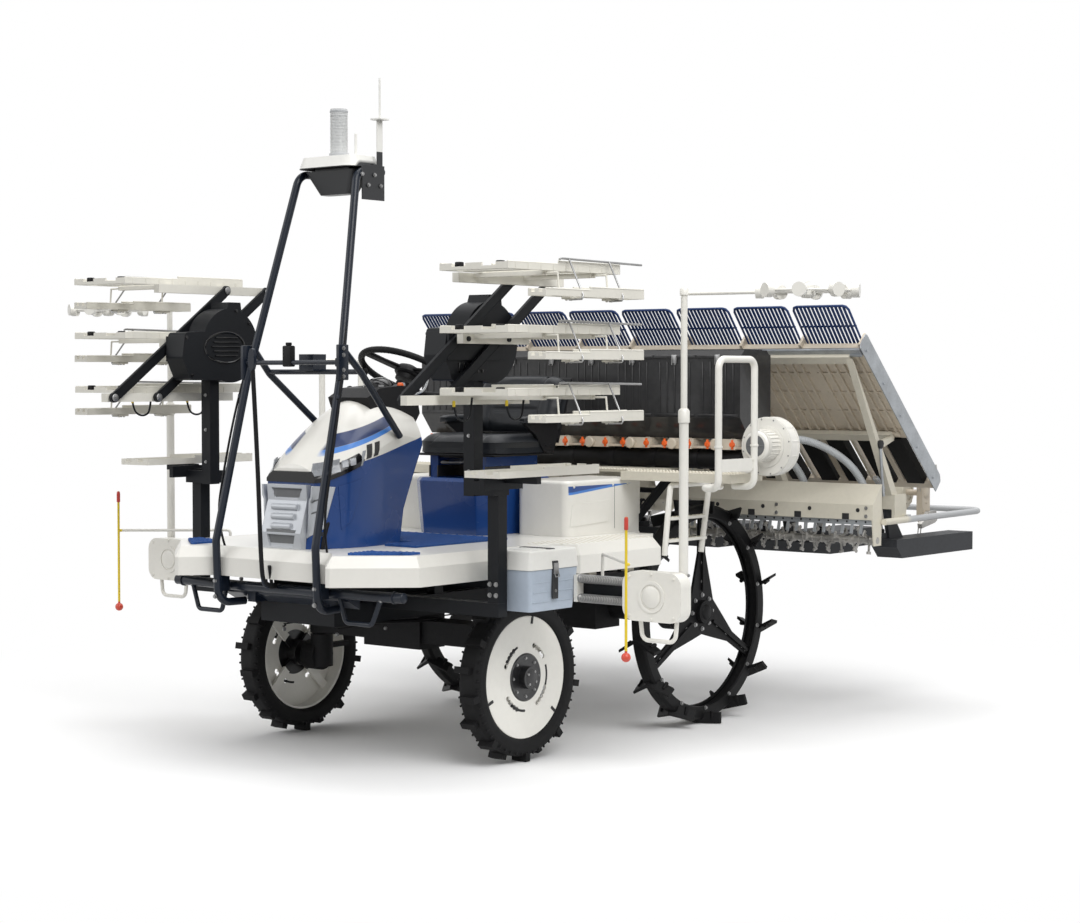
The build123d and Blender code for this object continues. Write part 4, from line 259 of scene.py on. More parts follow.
FINISHES = {                  # colour, roughness and what differs from Finish's own values
    "chassis_black": (BLACK, 0.4, dict(edge=0.25, edge_gain=2.4, spec=0.15)),
    "cast_black": ((0.012, 0.012, 0.013), 0.6, dict(spec=0.15, mottle=0.2, grain_depth=0.5, edge=0.25, edge_gain=2.2)),
    "tube_blue_black": ((0.008, 0.012, 0.021), 0.3, dict(coat=0.1, edge=0.2, edge_gain=2.2, spec=0.25)),
    "body_white": ((0.77, 0.755, 0.705), 0.3, dict(coat=0.2, mottle=0.02, edge=0.1, edge_gain=1.05, round_mm=3)),
    "body_blue": ((0.011, 0.05, 0.2), 0.27, dict(coat=0.25, spec=0.25, mottle=0.015, edge=0.06, round_mm=3)),
    "mat_blue": ((0.02, 0.075, 0.26), 0.6, dict(spec=0.2, mottle=0.12, edge=0.15, grain_depth=0.4)),
    "grille_silver": ((0.46, 0.48, 0.51), 0.38, dict(metallic=0.3, coat=0.15, mottle=0.03, edge=0.15, round_mm=4)),
    "lamp_black": ((0.005, 0.005, 0.006), 0.14, dict(coat=0.35, spec=0.25, mottle=0.1, edge=0.1, edge_gain=3)),
    "dash_black": ((0.008, 0.008, 0.009), 0.45,
                   dict(spec=0.15, mottle=0.15, grain=420, grain_depth=0.5, edge=0.2, edge_gain=2.4)),
    "wheel_grip": ((0.007, 0.007, 0.0075), 0.5,
                   dict(spec=0.15, mottle=0.15, grain=500, grain_depth=0.6, edge=0.15, edge_gain=2.2)),
    "seat_vinyl": ((0.009, 0.0105, 0.013), 0.38, dict(coat=0.06, spec=0.2, mottle=0.12, edge=0.0, round_mm=0.5)),
    "frame_beige": ((0.62, 0.585, 0.49), 0.4, dict(mottle=0.05, edge=0.3, edge_gain=1.1, grain_depth=0.2)),
    "housing_white": ((0.75, 0.745, 0.71), 0.38, dict(mottle=0.03, edge=0.1, edge_gain=1.05, round_mm=3)),
    "tower_clear": ((0.7, 0.71, 0.71), 0.2, dict(coat=0.4, mottle=0.03, edge=0.0, clear=0.2)),
    "box_grey": ((0.4, 0.46, 0.54), 0.42, dict(mottle=0.05, edge=0.15, grain_depth=0.3, round_mm=2)),
    "tray_white": ((0.735, 0.715, 0.645), 0.42, dict(mottle=0.04, edge=0.15, edge_gain=1.1, grain_depth=0.3)),
    "marker_white": ((0.79, 0.775, 0.72), 0.32, dict(coat=0.2, mottle=0.03, edge_gain=1.05)),
    "rod_yellow": ((0.75, 0.55, 0.015), 0.35, dict(coat=0.2, mottle=0.05)),
    "hopper_smoke": ((0.03, 0.03, 0.031), 0.2,
                     dict(coat=0.2, spec=0.25, mottle=0.25, mottle_scale=3, edge=0.25, edge_gain=2.5)),
    "duct_black": ((0.007, 0.007, 0.0075), 0.5, dict(spec=0.15, mottle=0.2, edge=0.2, edge_gain=2.5)),
    "hose_grey": ((0.36, 0.375, 0.385), 0.45, dict(mottle=0.08, edge=0.1)),
    "tyre_black": ((0.008, 0.008, 0.0085), 0.6,
                   dict(spec=0.15, mottle=0.25, grain=350, grain_depth=0.7, edge=0.2, edge_gain=2.2, round_mm=2)),
    "paddle_black": ((0.006, 0.006, 0.0065), 0.48,
                     dict(spec=0.15, mottle=0.25, grain=250, grain_depth=0.7, edge=0.25, edge_gain=2.4, round_mm=2)),
    "rotor_steel": ((0.4, 0.39, 0.37), 0.42,
                    dict(metallic=0.85, mottle=0.25, mottle_scale=9, edge=0.4, edge_gain=1.5, grain=90,
                         grain_depth=0.5)),
    "float_grey": ((0.03, 0.032, 0.036), 0.5, dict(spec=0.2, mottle=0.15, edge=0.2, edge_gain=2)),
    "table_beige": ((0.58, 0.51, 0.41), 0.42, dict(edge=0.2, edge_gain=1.1, grain_depth=0.3)),
    "belt_black": ((0.006, 0.006, 0.006), 0.6, dict(spec=0.15, mottle=0.2, edge=0.2, edge_gain=2.4)),
    "grille_blue": ((0.007, 0.028, 0.11), 0.35,
                    dict(coat=0.1, spec=0.25, mottle=0.1, edge=0.2, edge_gain=2, round_mm=0.5)),
    # black clips and knobs; the same black on vents, slots and holes is painted shade of their openings
    "recess_black": ((0.012, 0.012, 0.013), 0.55, dict(mottle=0.15, grain=300, grain_depth=0.6)),
    # dark grey: painted shade in the hood's gills, the grille's sunk panels and the disc behind the blower's grid,
    # whose bars are dark grey too; also the dark seams of the side covers
    "recess_grey": ((0.12, 0.125, 0.13), 0.45, dict(mottle=0.1, grain=300, grain_depth=0.4)),
    "grip_beige": ((0.6, 0.57, 0.49), 0.55, dict(mottle=0.08, edge=0.3, edge_gain=0.85)),
    "lamp_clear": ((0.34, 0.36, 0.39), 0.1, dict(coat=0.5, mottle=0.05, clear=0.25)),
    "chrome": (BARE_STEEL, 0.16, dict(metallic=1.0, mottle=0.03, grain_depth=0.03, round_mm=0.4)),
    "key_grey": ((0.3, 0.31, 0.33), 0.4, dict(round_mm=0.5)),
    "orange_resin": ((0.78, 0.12, 0.015), 0.4, dict(coat=0.2, mottle=0.08, round_mm=0.6)),
    "red_tip": ((0.5, 0.035, 0.02), 0.4, dict(coat=0.2, mottle=0.08, round_mm=0.6)),
    "spring_steel": ((0.3, 0.3, 0.3), 0.36, dict(metallic=0.85, mottle=0.15, mottle_scale=20, edge=0.2, edge_gain=1.3,
                                                 grain_depth=0.08, round_mm=0.4)),
    "link_black": ((0.02, 0.021, 0.023), 0.5,
                   dict(mottle=0.15, grain=500, grain_depth=0.5, edge=0.2, edge_gain=2.2, round_mm=0.6)),
    "edge_grey": ((0.36, 0.38, 0.4), 0.42,
                  dict(metallic=0.6, mottle=0.16, mottle_scale=14, edge=0.25, edge_gain=1.3, round_mm=0.6)),
    "boot_grey": ((0.2, 0.2, 0.2), 0.3, dict(coat=0.2, mottle=0.1)),
    "cap_grey": ((0.4, 0.41, 0.42), 0.4, {})}
BUMPS = {                     # texture, strength, depth in metres and the texture's values
    "cast_black": [(noise, 0.35, 0.0012, 120, 4)],
    "mat_blue": [(grid, 0.9, 0.003, 55, 0.42, 0.3)],
    "seat_vinyl": [(pores, 0.35, 0.0006, 520), (noise, 0.25, 0.004, 14, 3)],
    "tower_clear": [(waves, 0.15, 0.0008, 60, "Z")],
    "box_grey": [(noise, 0.25, 0.002, 30, 3, (0.3, 0.3, 3))],
    "hopper_smoke": [(noise, 0.2, 0.004, 9, 3)],
    "recess_black": [(grid, 0.8, 0.0012, 210, 0.3, 0.42)],
    "lamp_clear": [(waves, 0.5, 0.0012, 55, "X")]}
PATTERNS = {"hood_white": paint_hood, "cover_white": paint_covers, "rim_white": paint_rim,
            "receiver": paint_receiver, "unit_beige": paint_unit, "rod_yellow": paint_rod}
LIKE = {                      # finishes that start from another
    "rack_black": "chassis_black", "link_steel": "chassis_black", "blower_white": "body_white",
    "meter_beige": "table_beige", "claw_steel": "rotor_steel", "hood_white": "body_white",
    "cover_white": "body_white", "rim_white": "marker_white", "receiver": "housing_white",
    "unit_beige": "frame_beige"}
NODE_LOOKS = {                # nodes with a painted pattern of their own
    "planting_frame": "unit_beige", "hood_top": "hood_white", "side_covers": "cover_white",
    "receiver_housing": "receiver"}


@cache
def finish(name):
    """The material of a slot or look, made once."""
    base = LIKE.get(name, name)
    colour, rough, more = FINISHES[base]
    made = Finish(name, colour, rough, **more)
    for texture, strength, depth, *values in BUMPS.get(base, ()):
        made.bump(texture(made.tree, made.place, *values), strength, depth)
    if name in PATTERNS:
        PATTERNS[name](made)
    return made.material


def dress_frame():
    """Give every CAD node the finish of its slot in the record."""
    for part in frame["record"]["subparts"]:
        shown = frame["nodes"][part["node"]]
        shown.data.materials.clear()
        shown.data.materials.append(finish(NODE_LOOKS.get(part["node"], part["material_slot"])))


# ---------------------------------------------------------------- mesh pieces
def aimed(axis, origin=(0, 0, 0)):
    """A matrix whose Z runs along axis, at origin."""
    return Matrix.Translation(origin) @ Vector(axis).to_track_quat("Z", "Y").to_matrix().to_4x4()


def turns(count, start=0.0):
    """Angles that divide a full turn evenly."""
    return [start + k * 2 * pi / count for k in range(count)]


def spoke(turn, length=1.0):
    """A vector in the plane of the wheels, at an angle from the X axis."""
    return Vector((cos(turn), 0, sin(turn))) * length


def facing(y, *places):
    """Points at one width, from (x, z) pairs."""
    return [(x, y, z) for x, z in places]


def row_y(row, pitch):
    """The middle of one of the eight rows, counted from the right."""
    return (row - 3.5) * pitch


def route(points):
    """Points along the smooth curve that a route's points control."""
    line = bpy.data.curves.new("route", "CURVE")
    line.dimensions = "3D"
    line.resolution_u = 12
    spline = line.splines.new("NURBS")
    spline.points.add(len(points) - 1)
    for control, point in zip(spline.points, points):
        control.co = (*point, 1)
    spline.order_u = 3
    spline.use_endpoint_u = True
    holder = bpy.data.objects.new("route", line)
    sampled = bpy.data.meshes.new_from_object(holder)
    path = [v.co.copy() for v in sampled.vertices]
    bpy.data.objects.remove(holder)
    bpy.data.curves.remove(line)
    bpy.data.meshes.remove(sampled)
    return path


class Shape:
    """Gathers closed forms in one mesh, in millimetres, for one piece."""

    waiting = []              # shapes that are not yet pieces

    def __init__(self, body, slot, name, look=None, smooth=38):
        self.mesh = bmesh.new()
        self.body, self.slot, self.name, self.look, self.smooth = body, slot, name, look or slot, smooth
        Shape.waiting.append(self)

    def ring(self, points):
        return [self.mesh.verts.new(point) for point in points]

    def box(self, corner, other, rounding):
        """A box between any two opposite corners."""
        low = Vector(map(min, corner, other))
        high = Vector(map(max, corner, other))
        place = Matrix.Translation((low + high) / 2) @ Matrix.Diagonal((*(high - low), 1))
        made = bmesh.ops.create_cube(self.mesh, size=1, matrix=place)
        edges = list({edge for vert in made["verts"] for edge in vert.link_edges})
        bmesh.ops.bevel(self.mesh, geom=edges, offset=rounding, segments=2, profile=0.6, affect="EDGES")

    def rod(self, start, end, radius, end_radius=None, sides=20):
        start, end = Vector(start), Vector(end)
        bmesh.ops.create_cone(self.mesh, cap_ends=True, segments=sides, radius1=radius, radius2=end_radius or radius,
                              depth=(end - start).length, matrix=aimed(end - start, (start + end) / 2))

    def ball(self, centre, radius, squeeze):
        place = Matrix.Translation(centre) @ Matrix.Diagonal((*squeeze, 1))
        bmesh.ops.create_uvsphere(self.mesh, u_segments=20, v_segments=12, radius=radius, matrix=place)

    def bolt(self, at, axis, size=8):
        """A hexagon head on its washer."""
        at, axis = Vector(at), Vector(axis).normalized()
        self.rod(at - axis, at + axis * size * 0.18, size, sides=18)
        self.rod(at, at + axis * size * 0.75, size * 0.8, size * 0.74, sides=6)

    def skin(self, rings, closed=False):
        """Join rings of vertices; a ring of one vertex is a tip, and open ends are capped."""
        for near, far in zip(rings, rings[1:] + rings[:1] if closed else rings[1:]):
            count = max(len(near), len(far))
            for k in range(count if count > 1 else 0):
                corners = [near[k % len(near)], near[(k + 1) % len(near)], far[(k + 1) % len(far)], far[k % len(far)]]
                self.mesh.faces.new(list(dict.fromkeys(corners)))
        for ring in () if closed else (rings[0], rings[-1]):
            if len(ring) > 2:
                self.mesh.faces.new(ring)

    def lathe(self, profile, origin, axis, sides=32, closed=False):
        """Turn (radius, distance) points about an axis."""
        place = aimed(axis, origin)
        self.skin([self.ring(place @ Vector((radius * cos(turn), radius * sin(turn), along))
                             for turn in turns(sides)[:None if radius > 0.01 else 1])
                   for radius, along in profile], closed)

    def washer(self, radii, heights, origin, axis, sides=32):
        """A flat ring between two radii and two heights."""
        (inner, outer), (low, high) = radii, heights
        self.lathe([(inner, low), (outer, low), (outer, high), (inner, high)], origin, axis, sides, closed=True)

    def tube(self, points, radius, sides=10, radii=None, closed=False):
        """A round bar along points; radii gives its radius at each point."""
        points = [Vector(point) for point in points]
        last = len(points) - 1
        rings, side = [], None
        for k, point in enumerate(points):
            if closed:
                along = points[(k + 1) % (last + 1)] - points[k - 1]
            else:
                along = points[min(k + 1, last)] - points[max(k - 1, 0)]
            along.normalize()
            if side is None:
                side = along.orthogonal()
            side = (side - along * side.dot(along)).normalized()
            up = along.cross(side)
            size = radii[k] if radii else radius
            rings.append(self.ring(point + (side * cos(turn) + up * sin(turn)) * size for turn in turns(sides)))
        self.skin(rings, closed)

    def bent(self, points, radius, sides=10):
        """A round bar along a smooth curve."""
        self.tube(route(points), radius, sides)

    def coil(self, start, end, radius, wire, count):
        """A coil spring between two points."""
        along = Vector(end) - Vector(start)
        place, steps = aimed(along, start), count * 14
        self.tube([place @ Vector((radius * cos(k * pi / 7), radius * sin(k * pi / 7), along.length * k / steps))
                   for k in range(steps + 1)], wire, 6)

    def prism(self, outline, depth):
        """Extrude an outline of 3-D points by a vector."""
        self.skin([self.ring(outline), self.ring(Vector(point) + Vector(depth) for point in outline)])

    def place(self):
        """Make the object, which rides on a body and takes its finish from a slot."""
        Shape.waiting.remove(self)
        bmesh.ops.recalc_face_normals(self.mesh, faces=self.mesh.faces)
        bmesh.ops.scale(self.mesh, vec=(MM, MM, MM), verts=self.mesh.verts)
        data = bpy.data.meshes.new(self.name)
        self.mesh.to_mesh(data)
        self.mesh.free()
        data.shade_smooth()
        data.set_sharp_from_angle(angle=radians(self.smooth))
        data.materials.append(finish(self.look))
        piece = bpy.data.objects.new(self.name, data)
        bpy.context.scene.collection.objects.link(piece)
        if self.body:
            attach(piece, self.body)
        return piece


def kit(body, slot, *labels):
    """Shapes of one body and slot; a label is the piece's name, with its look where that differs."""
    return [Shape(body, slot, *label.split()) for label in labels]


def tree_of(data):
    """A search tree over a mesh, in metres."""
    return BVHTree.FromPolygons([v.co for v in data.vertices], [p.vertices[:] for p in data.polygons])


def surface(node):
    """A search tree over a CAD node."""
    return tree_of(frame["nodes"][node].data)


def laid(shape, tree, quad, ray, size, lift, thick):
    """Lay a thin plate on a CAD surface: a grid between four corners, cast along ray."""
    columns, rows = size
    wide, ray = columns + 1, Vector(ray)
    a, b, c, d = (Vector(corner) for corner in quad)
    places = [(row, column) for row in range(rows + 1) for column in range(wide)]
    origins = [a.lerp(b, column / columns).lerp(d.lerp(c, column / columns), row / rows) for row, column in places]
    hits = [tree.ray_cast(origin * MM, ray)[3] for origin in origins]
    # a ray that misses takes the depth of the nearest one that hits
    depths = [hit if hit is not None else min(
        (abs(row - places[j][0]) + abs(column - places[j][1]), other)
        for j, other in enumerate(hits) if other is not None)[1] for hit, (row, column) in zip(hits, places)]
    layers = [shape.ring(origin + ray * (depth / MM + shift) for origin, depth in zip(origins, depths))
              for shift in (-lift, thick - lift)]
    for layer in layers:
        for k in (row * wide + column for row in range(rows) for column in range(columns)):
            shape.mesh.faces.new([layer[k], layer[k + 1], layer[k + wide + 1], layer[k + wide]])
    rim = (list(range(wide)) + [row * wide + columns for row in range(1, rows + 1)]
           + [rows * wide + column for column in reversed(range(columns))]
           + [row * wide for row in range(rows - 1, 0, -1)])
    for k, j in zip(rim, rim[1:] + rim[:1]):
        shape.mesh.faces.new([layers[0][k], layers[0][j], layers[1][j], layers[1][k]])


# ---------------------------------------------------------------- floor, hood and controls
DECK_TOP = 830


def height_under(tree, x, y):
    """Height of a CAD surface near the deck, or nought where there is none."""
    hit = tree.ray_cast(Vector((x, y, DECK_TOP + 60)) * MM, Vector(DOWN), 0.08)[0]
    return hit.z / MM if hit else 0


def dress_floor():
    """Studs on the mats and grips on the bare floor."""
    mats, deck = surface("deck_mats"), surface("floor_deck")
    low, high = box_mm("deck_mats")
    studs, = kit("chassis", "mat_blue", "mat_studs")
    grips, = kit("chassis", "body_white", "floor_grips grip_beige")
    for column in range(int((high.x - low.x) / 22)):
        for row in range(int((high.y - low.y) / 22)):
            x, y = low.x + 11 + column * 22 + (row % 2) * 11, low.y + 11 + row * 22
            top = height_under(mats, x, y)
            if top > DECK_TOP + 7:
                studs.rod((x, y, top - 0.5), (x, y, top + 2), 6, 4.5, sides=8)
    for side in SIDES:
        for column in range(22):
            for row in range(9):
                x, y = 800 - column * 30 + (row % 2) * 15, side * (560 + row * 20)
                if height_under(deck, x, y) > DECK_TOP - 1 and not height_under(mats, x, y):
                    grips.rod((x, y, DECK_TOP - 0.5), (x, y, DECK_TOP + 1.6), 5.5, 4, sides=8)


def slab(x_front, x_back, low, high, side, lean=0):
    """Four corners beside the hood; low and high are heights over its waist line."""
    (front, height, slope) = WAIST
    at_front, at_back = (height + (x - front) * slope for x in (x_front, x_back))
    return facing(side * 320, (x_front - lean, at_front + high), (x_back - lean, at_back + high),
                  (x_back, at_back + low), (x_front, at_front + low))


def dress_hood():
    """Vents, wings, gills, lamp lenses and the sunk panels of the grille, laid on the hood's curved sides; the vents,
    the gills and the sunk panels are dark plates of painted shade.
    """
    top, sides, lamps, front = map(surface, ("hood_top", "hood_sides", "headlamps", "front_grille"))
    vents, gill_shade, lenses, reflectors = kit("chassis", "lamp_black", "hood_vents recess_black", "hood_gills recess_grey",
                                           "lamp_lenses lamp_clear", "lamp_reflectors lamp_clear")
    wings, sunk_panel_shade = kit("chassis", "grille_silver", "hood_wings", "grille_panels recess_grey")
    scoops, = kit("chassis", "body_blue", "hood_scoops")
    for side in SIDES:
        ray = (0, -side, 0)
        # black plates over the vents: painted shade of their openings
        for x in (1330, 1290):
            laid(vents, top, slab(x, x - 26, 5, 58, side, 20), ray, (6, 8), 1.6, 5)
        laid(lenses, lamps, slab(1526, 1446, -14, 34, side, 12), ray, (12, 8), 1.2, 4)
        laid(reflectors, lamps, slab(1362, 1354, -12, 44, side, 18), ray, (2, 8), 1.6, 3)
        for x in (1436, 1406):
            laid(reflectors, lamps, slab(x, x - 22, -2, 24, side, 8), ray, (6, 6), 1.6, 3)
        laid(scoops, sides, facing(side * 320, (1452, 1064), (1345, 1092), (1392, 940), (1440, 900)), ray,
             (10, 12), 3.4, 8)
        laid(wings, sides, facing(side * 320, (1549, 1068), (1462, 1062), (1500, 905), (1553, 872)), ray,
             (8, 14), 2.4, 8)
        # two dark grey slits on each wing: painted shade in the gills
        for z in (1010, 966):
            laid(gill_shade, sides, facing(side * 320, (1542, z), (1494, z + 16), (1498, z + 9), (1544, z - 7)), ray,
                 (6, 1), 3.6, 3)
    # dark grey plates over the grille's sunk panels: painted shade
    for high, low, half_high, half_low in ((1056, 1022, 76, 66), (902, 850, 78, 62)):
        laid(sunk_panel_shade, front, [(1700, -half_high, high), (1700, half_high, high), (1700, half_low, low),
                              (1700, -half_low, low)], (-1, 0, 0), (14, 5), 0.8, 3)


def dress_dashboard():
    """Meter dome, keys and levers of the dashboard, and the mast's cross-bar with its holder."""
    dome, keys, button, levers, knobs = kit(
        "chassis", "dash_black", "meter_dome lamp_black", "dashboard_keys key_grey", "stop_button orange_resin",
        "lever_rods chrome", "lever_knobs wheel_grip")
    crossbar, = kit("chassis", "tube_blue_black", "mast_cross_bar")
    dome.lathe([(0, 34), (26, 31), (48, 20), (60, 4), (64, -14), (60, -22)], (1046, 0, 1437), (0.18, 0, 1), 36)
    dome.box((960, -92, 1431), (1004, 92, 1439), 3)
    for y in (-62, -38, -14, 14, 38):
        keys.box((972, y - 8, 1438), (990, y + 8, 1443), 2)
    keys.lathe([(0, 14), (9, 12), (12, 4), (12, -2)], (985, 74, 1438), UP, 20)
    button.lathe([(0, 12), (10, 10), (13, 3), (13, -3)], (1008, 84, 1440), (0.1, 0.1, 1), 24)
    levers.bent([(985, -96, 1396), (975, -130, 1400), (935, -170, 1430), (926, -184, 1480)], 4.5)
    levers.bent([(990, 70, 1400), (976, 130, 1402), (952, 170, 1424), (950, 178, 1470)], 5)
    knobs.lathe([(0, 30), (12, 27), (15, 16), (13, 4), (7, -4), (0, -5)], (926, -184, 1482), (0.1, -0.1, 1), 24)
    knobs.lathe([(0, 26), (10, 24), (12, 14), (10, 2), (6, -4), (0, -5)], (950, 178, 1470), (0, 0.1, 1), 24)
    knobs.box((1492, -52, 1512), (1520, -8, 1592), 6)
    knobs.box((1498, -40, 1592), (1514, -20, 1604), 3)
    crossbar.tube([(1507, -240, 1528), (1507, 240, 1528)], 9, 14)
    for y in (-240, 240):
        crossbar.box((1494, y - 14, 1512), (1522, y + 14, 1544), 4)
        crossbar.bolt((1522, y, 1528), AHEAD, 6)


def dress_steering():
    """Padded boss, spoke covers, grip ridges and cap of the steering wheel."""
    boss, ridges, cap = kit("steering_wheel", "wheel_grip", "steering_boss dash_black", "steering_grip_ridges",
                            "steering_cap lamp_black")
    lean, centre = radians(28), Vector((872, 0, 1490))
    axis, across = Vector((-sin(lean), 0, cos(lean))), Vector((cos(lean), 0, sin(lean)))
    outs = [across * cos(turn) + Vector(LEFT) * sin(turn) for turn in turns(72)]
    boss.lathe([(0, 30), (26, 28), (44, 20), (52, 8), (54, -6), (48, -14)], centre, axis, 40)
    for out in outs[18::24]:
        wide = axis.cross(out)
        boss.prism([centre + out * r + wide * w + axis * 3 for r, w in
                    ((40, -27), (110, -19), (186, -22), (186, 22), (110, 19), (40, 27))], axis * 6)
    for k, out in enumerate(outs):
        if k % 12 not in (0, 11):
            ridges.tube([centre + out * 195 + (out * cos(t) + axis * sin(t)) * 13.1 for t in turns(12)], 0.9, 5,
                        closed=True)
    cap.lathe([(0, 33), (12, 32.6), (16, 31), (17, 28.5)], centre, axis)


# ---------------------------------------------------------------- seat
def settled(piece):
    """Apply a piece's modifiers to its mesh."""
    graph = bpy.context.evaluated_depsgraph_get()
    data = bpy.data.meshes.new_from_object(piece.evaluated_get(graph))
    piece.modifiers.clear()
    piece.data = data


def swell(piece, cap):
    """Fill a pad with cloth simulation; no point moves further than cap."""
    start = [v.co.copy() for v in piece.data.vertices]
    cloth = piece.modifiers.new("fill", "CLOTH")
    cloth.settings.use_pressure = True
    cloth.settings.uniform_pressure_force = 4.0
    cloth.settings.effector_weights.gravity = 0.0
    for step in range(1, 21):
        bpy.context.scene.frame_set(step)
    settled(piece)
    bpy.context.scene.frame_set(1)
    for vert, old in zip(piece.data.vertices, start):
        shift = vert.co - old
        if shift.length > cap * MM:
            vert.co = old + shift * (cap * MM / shift.length)


def squareness(u, v):
    """Distance from the middle of a square with round corners, 1 on its edge."""
    return (abs(u) ** 6 + abs(v) ** 6) ** (1 / 6)


def pad(name, place, half, height, bolster, channel, cross, cap=7):
    """A stuffed pad on a local plane: crowned, with raised sides and sewn channels pulled into it."""
    shape = Shape("chassis", "seat_vinyl", name, smooth=70)
    bmesh.ops.create_cube(shape.mesh, size=2)
    bmesh.ops.subdivide_edges(shape.mesh, edges=shape.mesh.edges[:], cuts=21, use_grid_fill=True)
    for vert in shape.mesh.verts:
        u, v, w = vert.co
        square = max(abs(u), abs(v))
        if square > 0.01:
            scale = squareness(u, v)
            u, v = u * square / scale, v * square / scale
        edge = max(0.0, square - 0.7) / 0.3
        pull = 1 - 0.03 * (1 - min(abs(u), abs(v)) ** 2) * (1 - abs(w))
        top = height * (1 - 0.3 * edge ** 3) + bolster * max(0.0, (abs(v) - 0.5) / 0.5) * (1 - edge ** 4)
        tuck = 0.05 * height * edge ** 3 if w < 0 else 0.0
        vert.co = place @ Vector((u * pull * half[0], v * pull * half[1], max((w + 1) / 2 * top, tuck)))
    piece = shape.place()
    swell(piece, cap)
    piece.modifiers.new("smoother", "SUBSURF").levels = 1
    settled(piece)
    back = place.inverted()
    for vert in piece.data.vertices:
        local = back @ (vert.co / MM)
        if local.z > height * 0.55:
            seams = [abs(local.y) - channel] + [local.x - x for x in cross if abs(local.y) < channel]
            depth = max(exp(-(seam / 7) ** 2) for seam in seams)
            vert.co = place @ (local - Vector((0, 0, 6.5 * depth))) * MM
    piece.data.shade_smooth()
    return piece


def welts(name, piece, place, half, height, channel):
    """Piping along the sewn channels and round the pad's upper edge."""
    tree = tree_of(piece.data)
    down = place.to_3x3() @ Vector(DOWN)
    piping = Shape("chassis", "seat_vinyl", name, smooth=70)
    for side in SIDES:
        starts = [place @ Vector((half[0] * 0.9 * (step / 20 - 1), side * channel, height * 2)) for step in range(41)]
        hits = [tree.ray_cast(start * MM, down)[0] for start in starts]
        piping.tube([hit / MM + down * 0.6 for hit in hits if hit], 1.9, 6)
    heart, loop = place @ Vector((0, 0, height * 0.7)), []
    for turn in turns(96):
        size = 1.25 / squareness(cos(turn), sin(turn))
        foot = place @ Vector((cos(turn) * size * half[0], sin(turn) * size * half[1], height * 0.7))
        hit = tree.ray_cast(foot * MM, (heart - foot).normalized())[0]
        if hit:
            loop.append(hit / MM)
    piping.tube(loop, 2.2, 6, closed=True)


def dress_seat():
    """Cushion, back, arm rests, rear shell and slides of the seat."""
    shell, slides = kit("chassis", "seat_vinyl", "seat_shell dash_black", "seat_slides link_black")
    base = Matrix.Translation((402, 0, 1157))
    up, out = Vector((-0.336, 0, 0.942)), Vector((0.942, 0, 0.336))
    back = Matrix.Translation((131, 0, 1343)) @ Matrix((up, (0, -1, 0), out)).transposed().to_4x4()
    channel = 128             # from the seat's middle to its sewn channels
    cushion = pad("seat_cushion", base, (192, 226), 70, 14, channel, (-60, 60))
    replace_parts(cushion, "seat")
    rest = pad("seat_back", back, (132, 226), 62, 16, channel, (-30, 50))
    welts("cushion_welts", cushion, base, (192, 226), 70, channel)
    welts("back_welts", rest, back, (132, 226), 62, channel)
    shell.box((206, -216, 1149), (596, 216, 1158), 4)
    shell.box((226, -150, 1140), (560, 150, 1150), 4)
    shell.prism([back @ Vector((x, 212, z)) for x, z in ((-138, -2), (128, -2), (136, -8), (120, -14), (-150, -14))],
                (0, 424, 0))
    for side in SIDES:
        pad(f"arm_rest_{HANDS[side]}", Matrix.Translation((300, side * 216, 1283)), (122, 21), 28, 0, 60, (), cap=3)
        shell.prism(facing(side * 204, (214, 1166), (280, 1166), (330, 1232), (400, 1276), (400, 1284), (196, 1284),
                           (180, 1240)), (0, side * 18, 0))
        for x in (236, 268):
            shell.bolt((x, side * 222, 1190), (0, side, 0), 7)
        for y in (side * 108, side * 152):
            slides.box((232, y - 3, 1062), (572, y + 3, 1108), 1)
        for x in (262, 350, 450, 540):
            slides.bolt((x, side * 155, 1092), (0, side, 0), 7)
        slides.bent([(560, side * 60, 1128), (600, side * 60, 1124), (622, side * 40, 1122), (624, 0, 1122)], 5, 8)


# ---------------------------------------------------------------- fertiliser unit and hoses
HOPPER_PITCH, ROW_PITCH = 220, 300
HOPPER_BACK, HOPPER_FRONT = -423, -193
OUTLET_Z = 1191.3


